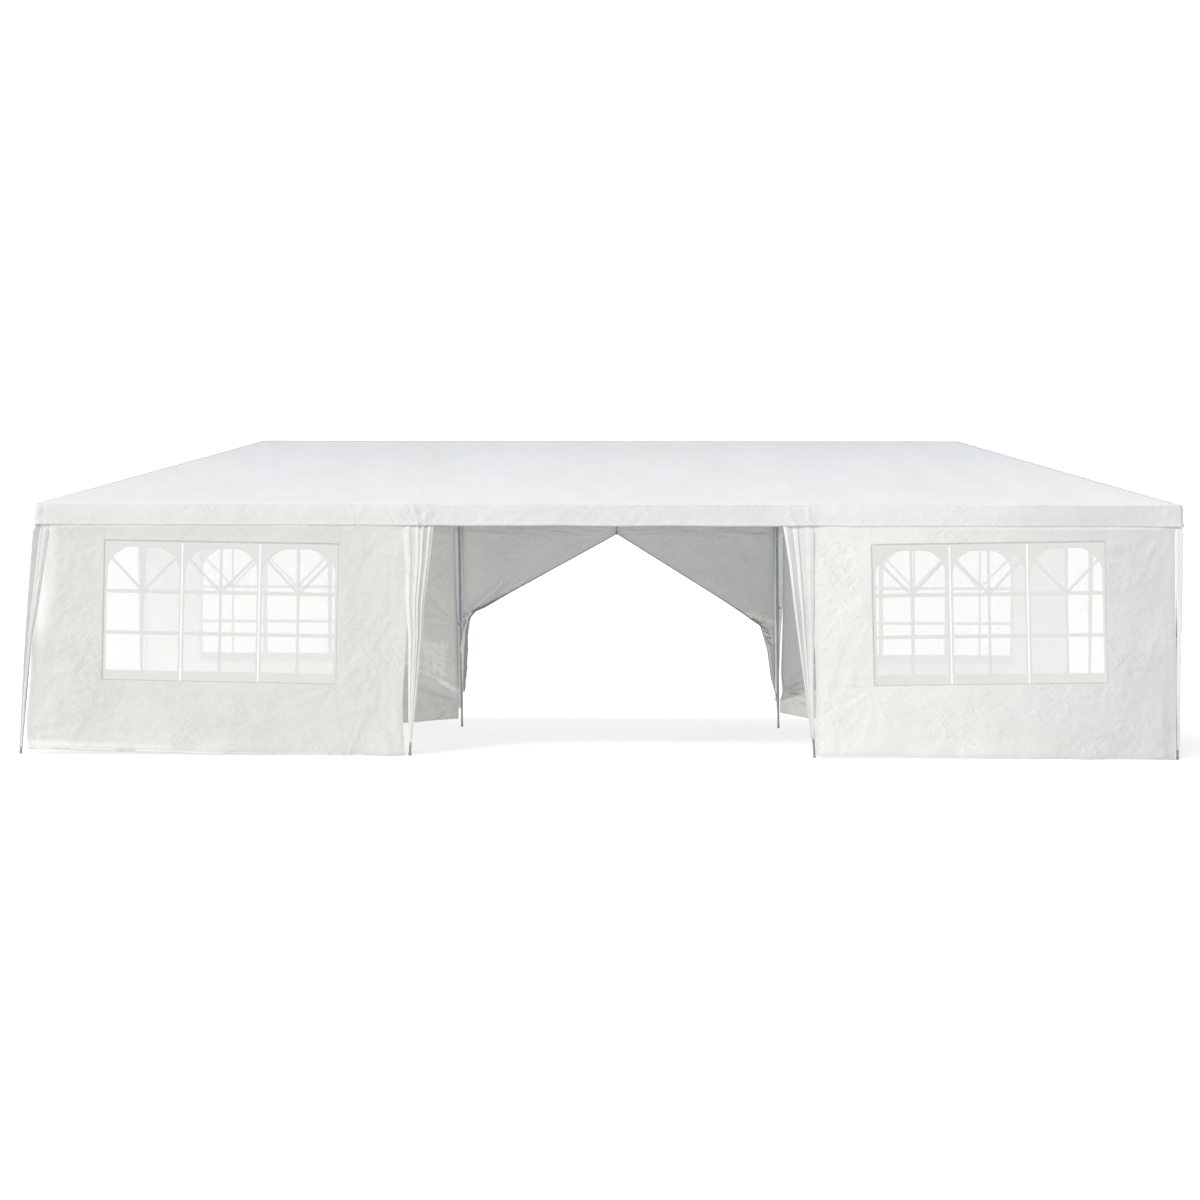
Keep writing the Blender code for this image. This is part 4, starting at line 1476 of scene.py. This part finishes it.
def window_print(name, surface):
    """The glazing bars printed on the film: three arched lights, each with six panes and a fan."""
    solid = Solid()
    half, sill, top = window_box(name)
    spring, middle, foot = top - SPRING_BAR_DROP, top - MIDDLE_BAR_DROP, top - CLEAR_FOOT_DROP
    unit = 2 * half / WINDOW_UNITS

    def bar(start, end, width, layer=0):
        lift = PRINT_DEPTH + PRINT_LAYER * layer
        surface.band(solid, [start, end], width, lift, PRINT_THICKNESS)

    for n in range(WINDOW_UNITS):
        left = -half + unit * n
        centre = left + unit / 2
        light = unit / 2 - STILE_WIDTH
        for edge in (left + STILE_WIDTH / 2, left + unit - STILE_WIDTH / 2):
            bar((edge, sill), (edge, top - ARCH_FOOT_DROP), STILE_WIDTH)
        for height, width in (((foot + sill) / 2, foot - sill), (spring, BAR_WIDTH), (middle, BAR_WIDTH)):
            bar((centre - light, height), (centre + light, height), width)
        bar((centre, foot), (centre, top - ARCH_TOP_DROP), MULLION_WIDTH, 1)
        for way in (-1, 1):
            end = (centre + way * DIAGONAL_REACH, spring + DIAGONAL_RISE)
            bar((centre, spring), end, MULLION_WIDTH, 2)
        u, v = arch_points(centre, top, light)
        u = np.concatenate([[left], u, [left + unit]])
        v = np.concatenate([v[:1], v, v[-1:]])
        field_u = np.repeat(u[:, None], 3, axis=1)
        field_v = np.stack([v, (v + top) / 2, np.full_like(v, top)], axis=1)
        low = PRINT_DEPTH + 3 * PRINT_LAYER
        back = surface.at(field_u, field_v, low)
        solid.plate(back, surface.at(field_u, field_v, low + PRINT_THICKNESS))
    solid.finish(f"window_bars_{name}", PRINTS[side_of(name)], "wall_cloth")


def wall_hems(name, surface):
    """A wall's turned edges, the seams above its window's sides, and the front right one's low seam."""
    half, _, top = window_box(name)
    left, right = surface.across[0], surface.across[-1]
    inset = HEM_WIDTH / 2 + 0.001
    lines = []
    for u in (left + inset, right - inset):
        lines.append(([(u, HEM_GAP), (u, WALL_TOP - HEM_GAP)], HEM_WIDTH))
    lines.append(([(left + HEM_GAP, inset), (right - HEM_GAP, inset)], HEM_WIDTH))
    for u in (-half - UPPER_SEAM_GAP, half + UPPER_SEAM_GAP):
        lines.append(([(u, top + UPPER_SEAM_GAP), (u, WALL_TOP - 2 * HEM_GAP)], UPPER_SEAM_WIDTH))
    if name == "front_right":
        middle, _, shear = WALLS[name]["window"]
        lines.append(([(x - middle - shear, v) for x, v in SEAM], LOWER_SEAM_WIDTH))
    solid = Solid()
    for path, width in lines:
        surface.band(solid, path, width, SEAM_LIFT, HEM_RAISE)
    return solid.finish(f"wall_hems_{name}", WALL_FINISHES[name], "wall_cloth", tone=WALL_TONES[name])


def window_seams(name, surface):
    """The stitching round a window, drawn dark as the painted shadow of the film's turned lap, and the white
    tapes between its lights.
    """
    half, sill, top = window_box(name)
    # The band round the window is stitching and the painted shadow of the film's lap
    out = STITCH_SHADOW_WIDTH / 2
    left, right, low, high = -half - out, half + out, sill - out, top + out
    corners = [(left, low), (right, low), (right, high), (left, high)]
    stitching_and_lap_shadow, tapes = Solid(), Solid()
    for start, end in zip(corners, corners[1:] + corners[:1]):
        surface.band(stitching_and_lap_shadow, [start, end], STITCH_SHADOW_WIDTH, SEAM_LIFT, STITCH_SHADOW_RAISE)
    for n in range(1, WINDOW_UNITS):
        u = -half + 2 * half / WINDOW_UNITS * n
        surface.band(tapes, [(u, sill), (u, top)], TAPE_WIDTH, TAPE_LIFT, TAPE_THICKNESS)
        tape_end = [(u, top + rise) for rise in TAPE_END]
        surface.band(stitching_and_lap_shadow, tape_end, TAPE_END_WIDTH, SEAM_LIFT, HEM_RAISE)
    stitching_and_lap_shadow.finish(f"window_stitching_and_lap_shadow_{name}", STITCHING_AND_LAP_SHADOW, "wall_cloth")
    tapes.finish(f"window_tapes_{name}", TAPE, "wall_cloth")


# Rear door


def elbow_share(part):
    """How far down a half its free edge meets the leg."""
    return DOORS[part]["stations"][DOOR_ELBOW][0]


def door_outline(part, p, q):
    """Place and height in a half: p runs from its near edge to its free one, and q down it."""
    sign = DOORS[part]["sign"]
    leg = f"rear_mid_{part}"
    shares, near_heights, reaches, free_heights = zip(*DOORS[part]["stations"])
    apex = CENTRE_X + DOOR_APEX_X + sign * DOOR_APEX_GAP
    free_places = []
    for reach, height in zip(reaches, free_heights):
        free_places.append(apex if reach is None else leg_place(leg, height)[0] - sign * reach)
    near_z = np.interp(q, shares, near_heights)
    near_x = leg_place(leg, near_z)[0] - sign * DOOR_EDGE_GAP
    x = near_x + (np.interp(q, shares, free_places) - near_x) * p
    z = near_z + (np.interp(q, shares, free_heights) - near_z) * p
    return x, z


def door_points(part, seed):
    """The points of a half's cloth, from its near edge to its free one, and their cut."""
    p, q = np.meshgrid(np.linspace(0, 1, DOOR_COLUMNS), np.linspace(0, 1, DOOR_ROWS), indexing="ij")
    x, z = door_outline(part, p, q)
    elbow = elbow_share(part)
    near = smooth(elbow - 0.3, elbow, q)
    calm = smooth(0.0, 0.1, q)
    below = smooth(elbow - 0.02, elbow + 0.06, q)
    pleats = np.sin(p * 2.2 * 2 * math.pi + 1.1 * np.sin(q * 3.1 + seed))
    pleats = pleats + 0.5 * np.sin(p * 6.3 * math.pi + seed)
    loose = wrinkled(x, z, DOOR_RIPPLES, seed=seed)
    tie = (*door_outline(part, 1.0, elbow), *DOOR_TIE_FAN)
    creased = wrinkled(x, z, creased=DOOR_FINE_CREASES, seed=seed)
    head = 0.007 * ripple(x * 0.6, z * 5, seed + 4, 0.25) * bell(z - 1.84, 0.03)
    out = 0.006 * below * pleats * smooth(0, 0.08, p)
    out = out + calm * (loose * (1 - near) + fan_folds(x, z, [tie], seed + 5) + creased)
    out = out - door_folds(part, x - CENTRE_X, z) + head * smooth(0, 0.03, q)
    y = WALL_FACE - 0.004 + np.clip(out, -0.045, 0.03) * smooth(-0.02, 0.12, p) - 0.012 * near
    return np.stack([x, y, z], axis=-1), np.stack([p * DOOR_WIDTH, (1 - q) * WALL_TOP], axis=-1)


def door_folds(part, x, z):
    """How far a half's main folds stand inward, from each fold's line of (x, height) places."""
    out = 0
    for line, width, depth in DOOR_FOLDS[part]:
        places, heights = zip(*sorted(line))
        left, right = places[0], places[-1]
        ends = smooth(left - 0.06, left + 0.06, x) * smooth(right + 0.06, right - 0.06, x)
        above = z - np.interp(x, places, heights)
        fade = np.exp(-np.clip(above, 0, None) / width) * smooth(-width * 0.35, 0.0, above)
        out = out + depth * ends * fade
    return out


def door_tone(part, x, z):
    """The place of each point of a half in its finish's stops: its x, but painted highlights and painted
    shade on its main creases.
    """
    tone = x + (SUNLIT_FOLD - x) * line_shade(x, z, DOOR_LIGHTS[part], 0.03)
    tone = np.where(line_shade(x, z, DOOR_CREASE_SHADES[part], 0.008) > 0.4, CREASE_SHADE, tone)
    return np.where(line_shade(x, z, DOOR_DEEP_SHADES[part], 0.011) > 0.4, PAINTED_DEEP_SHADE, tone)


def door_half(part, seed):
    """Half of the rear door, drawn aside, rolled along its free edge and tied to the middle leg."""
    points, cut = door_points(part, seed)
    tone = door_tone(part, points[..., 0] - CENTRE_X, points[..., 2])
    mesh = grid_mesh(f"door_half_{part}", points, cut, tone=tone)
    piece = cloth_piece(f"door_half_{part}", mesh, REAR_FINISH, (0, 1, 0))
    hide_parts(f"door_{part}")
    door_roll(part, points[-1])
    door_hem(part, points[-1])


def roll_lobes(index, turn):
    """How the rolled cloth's outline swells and turns along it."""
    way = index * 0.16
    swell = 0.16 * np.sin(3 * turn + way) + 0.1 * np.sin(5 * turn - way * 1.3)
    return 1 + swell + 0.05 * np.sin(index * 0.9)


def door_roll(part, edge):
    """The cloth rolled up along a half's free edge, drawn in by its tie and thin at its end, with painted
    sunlight on part of one side and painted deep shade elsewhere.
    """
    about = DOORS[part]
    elbow = elbow_share(part)
    start = int(DOOR_ROWS * DOOR_ROLL_START)
    path = edge[start:].copy()
    along = np.linspace(start / DOOR_ROWS, 1, len(path))
    for _ in range(3):
        path[1:-1] = (path[:-2] + 2 * path[1:-1] + path[2:]) / 4
    stops = (DOOR_ROLL_START, elbow - 0.06, elbow + 0.06, elbow + 0.14, 1.0)
    widths = np.interp(along, stops, (0.002, *about["roll"]))
    widths[-3:] *= (0.8, 0.55, 0.3)
    widths = widths * (1 - 0.3 * bell(path[:, 2] - about["tie"], 0.02))
    path[:, 0] += about["sign"] * widths * 0.75
    path[:, 1] -= widths * 0.3
    solid = Solid()
    solid.tube(path, widths, DOOR_ROLL_SIDES, lobes=roll_lobes)
    turn = np.linspace(0, 2 * math.pi, DOOR_ROLL_SIDES, endpoint=False)
    # Painted sunlight on one side from near the elbow down, and painted deep shade on the rest
    lit = (about["sign"] * np.cos(turn)[None, :] > -0.1) & (along > elbow - 0.02)[:, None]
    tone = np.where(lit, PAINTED_SUNLIGHT, PAINTED_DEEP_SHADE)
    return solid.finish(f"door_roll_{part}", REAR_FINISH, "wall_cloth", sharp=80, tone=tone)


def door_hem(part, edge):
    """The rolled hem on a half's free edge, painted dark all along as shade where it turns under, thick above
    its knot.
    """
    elbow = elbow_share(part)
    start = int(DOOR_ROWS * DOOR_HEM_START)
    path = edge[start::2].copy()
    path[:, 1] -= 0.003
    along = np.linspace(start / DOOR_ROWS, 1, len(path))
    stops = (DOOR_HEM_START, 0.52, elbow - 0.06, elbow, elbow + 0.04, 1.0)
    solid = Solid()
    solid.tube(path, np.interp(along, stops, DOORS[part]["hem"]), 8)
    solid.finish(f"door_hem_{part}", HEM_SHADE, "wall_cloth", sharp=80)


def door_knots():
    """Lumps of cloth cord where the halves are tied, painted pale with painted sunlight."""
    solid = Solid()
    share = np.linspace(-1, 1, 14)
    for x, height, radius, tall in DOOR_KNOTS:
        widths = radius * (1 - 0.8 * share**2) * (1 + 0.25 * np.sin(share * 9))
        bent = x + CENTRE_X + 0.003 * np.sin(share * 5)
        path = np.stack([bent, WALL_FACE - 0.03 + 0 * share, height + share * tall / 2], axis=1)
        solid.tube(path, widths)
    tone = np.full(len(solid.places), PAINTED_SUNLIGHT)
    solid.finish("door_knots", REAR_FINISH, "wall_cloth", tone=tone)


def door_zip():
    """The end of the door's zip and its small gusset, at the top of the opening."""
    solid = Solid()
    x = CENTRE_X + DOOR_APEX_X
    solid.tube([(x, WALL_FACE - 0.016, z) for z in np.linspace(*ZIP_ENDS, 8)], ZIP_RADIUS, 8)
    heights, radii = zip(*GUSSET_RINGS)
    solid.tube([(x, WALL_FACE - 0.018, z) for z in heights], radii, 12)
    solid.finish("door_zip", HEM_SHADE, "wall_cloth")


# Ties and small metal


def ring_path(centre, radius, stretch=1.0, tilt=0.0):
    """A ring round a centre, stretched along x and raised at one end by a tilt."""
    turn = np.linspace(0, 2 * math.pi, 22, endpoint=False)
    x = centre[0] + radius * stretch * np.cos(turn)
    y = centre[1] + radius * np.sin(turn)
    return np.stack([x, y, centre[2] + tilt * np.cos(turn)], axis=1)


def wall_ties(name, cords, beads):
    """A loop round the leg at each of a wall's ties, with its cord, and a bead on the middle one."""
    about = WALLS[name]
    sign = SIDE_SIGN[side_of(name)]
    share = np.linspace(0, 1, 9)[:, None]
    for edge, leg, inward in zip(("left", "right"), about["legs"], (1, -1)):
        for height in about["tie_heights"]:
            leg_x, leg_y = leg_place(leg, height)
            radius = tube_radius(height) + TIE_GAP
            cords.tube(ring_path((leg_x, leg_y, height), radius, tilt=0.002), TIE_RADIUS, 6, closed=True)
            start = np.array([leg_x, leg_y + sign * radius, height])
            eyelet = edge_x(name, edge, height) + CENTRE_X + inward * EYELET_INSET
            end = np.array([eyelet, sign * (WALL_FACE - 0.004), height + EYELET_RISE])
            path = start + (end - start) * share
            path[:, 2] -= TIE_SAG * np.sin(share[:, 0] * math.pi)
            cords.tube(path, TIE_RADIUS, 6)
            if height == about["tie_heights"][1]:
                beside = start + (inward * BEAD_REACH, 0, 0)
                drops, radii = zip(*BEAD_RINGS)
                beads.tube([beside + (0, 0, drop) for drop in drops], radii)


def door_tie(part, cords):
    """The flat loop that holds a half of the door to its leg."""
    about = DOORS[part]
    leg_x, leg_y = leg_place(f"rear_mid_{part}", about["tie"])
    reach = about["tie_reach"]
    centre = (leg_x - about["sign"] * reach * 0.6, leg_y + 0.012, about["tie"])
    cords.tube(ring_path(centre, DOOR_TIE_RING, 1 + reach * 12), DOOR_TIE_RADIUS, 6, closed=True)


def ties():
    """Elastic loops round the legs and the short cords from them to the walls."""
    cords, beads = Solid(), Solid()
    for name in WALLS:
        wall_ties(name, cords, beads)
    for part in DOORS:
        door_tie(part, cords)
    cords.finish("elastic_ties", ELASTIC)
    beads.finish("tie_beads", DARK)


def tube_radius(height):
    """A leg's radius at a height: its lower tube slides into the upper one."""
    return TUBE_RADIUS if height > TUBE_JOINT_HEIGHT else LOWER_TUBE_RADIUS


def tube_details():
    """A rolled rim where each leg's lower tube enters the upper one, and its spring buttons."""
    rims, buttons = Solid(), Solid()
    for name in LEGS:
        top = TUBE_JOINT_HEIGHT + RIM_TOP
        low, high = leg_place(name, TUBE_JOINT_HEIGHT), leg_place(name, top)
        rims.tube([(*low, TUBE_JOINT_HEIGHT - 0.001), (*high, top)], TUBE_RADIUS + RIM_THICKNESS, 18)
        for height in BUTTON_HEIGHTS:
            x, y = leg_place(name, height)
            for way in (-1, 1):
                inner, outer = way * TUBE_RADIUS * 0.8, way * (TUBE_RADIUS + BUTTON_REACH)
                buttons.tube([(x, y + inner, height), (x, y + outer, height + 0.0001)], BUTTON_RADIUS)
    rims.finish("leg_tube_joints", FITTING)
    buttons.finish("spring_buttons", FITTING)


def frame_finish():
    """The steel looks of the frame's tubes and connectors."""
    for name, node in frame["nodes"].items():
        if "connector" in name:
            finish = FITTING
        elif name.startswith(("leg_", "eave_rail", "hip_rafter", "rafter", "ridge_pole")):
            finish = STEEL
        else:
            continue
        for place in node.material_slots:
            place.material = finish


# Studio


def sun(name, towards, energy, spread):
    """A sun lamp in the sky towards a direction."""
    made = bpy.data.objects.new(name, bpy.data.lights.new(name, "SUN"))
    made.data.energy = energy
    made.data.angle = math.radians(spread)
    made.rotation_euler = Vector(towards).to_track_quat("Z", "Y").to_euler()
    bpy.context.scene.collection.objects.link(made)


def backdrop():
    """White where the camera sees the world, and a dimmer sky to light the marquee."""
    world = bpy.data.worlds.new("studio")
    bpy.context.scene.world = world
    made = Graph(world)
    sky = made.nodes["Background"]
    made.feed(sky, SKY)
    white = made.add("Background", BACKDROP)
    seen = made.add("LightPath", {}).outputs["Is Camera Ray"]
    both = made.add("MixShader", {"Fac": seen, 1: sky.outputs["Background"], 2: white.outputs["Background"]})
    made.feed(made.nodes["World Output"], {"Surface": both.outputs["Shader"]})


def floor():
    """A wide pale floor."""
    bm = bmesh.new()
    bmesh.ops.create_grid(bm, x_segments=1, y_segments=1, size=FLOOR_SIZE)
    mesh = bpy.data.meshes.new("floor")
    bm.to_mesh(mesh)
    bm.free()
    made = bpy.data.objects.new("floor", mesh)
    bpy.context.scene.collection.objects.link(made)
    finish = Graph(bpy.data.materials.new("floor"))
    finish.shade(FLOOR)
    mesh.materials.append(finish.owner)


def studio():
    """A plain white set: backdrop, floor and two soft suns."""
    view = bpy.context.scene.view_settings
    view.view_transform = "Standard"
    view.look = "None"
    backdrop()
    floor()
    for name, (towards, energy, spread) in SUNS.items():
        sun(name, towards, energy, spread)


def camera():
    """The camera that took the photograph, as fitted to it."""
    pitch, yaw, roll = (math.radians(turn) for turn in (CAMERA_PITCH, CAMERA_YAW, CAMERA_ROLL))
    turn = Matrix.Rotation(yaw, 4, "Z") @ Matrix.Rotation(pitch, 4, "X") @ Matrix.Rotation(roll, 4, "Y")
    made = bpy.data.objects.new("camera", bpy.data.cameras.new("camera"))
    made.data.sensor_width = SENSOR_MM
    made.data.lens = FOCAL_PX / PHOTO_SIDE * SENSOR_MM
    made.data.clip_end = 500
    place = Vector(CAMERA_FROM_CENTRE) + Vector((CENTRE_X, 0, 0))
    made.matrix_world = Matrix.Translation(place) @ turn @ Matrix.Rotation(math.radians(90), 4, "X")
    bpy.context.scene.collection.objects.link(made)
    bpy.context.scene.camera = made


camera()
studio()
frame_finish()
roof_cover()
valance()
for number, leg_name in enumerate(LEGS):
    leg_strip(leg_name, 40 + number)
for number, wall_name in enumerate(WALLS):
    wall_sheet = wall_surface(wall_name, 100 + 20 * number)
    wall_cloth(wall_name, wall_sheet)
    window_seams(wall_name, wall_sheet)
    window_print(wall_name, wall_sheet)
for number, door_part in enumerate(DOORS):
    door_half(door_part, 300 + 20 * number)
door_zip()
door_knots()
ties()
tube_details()
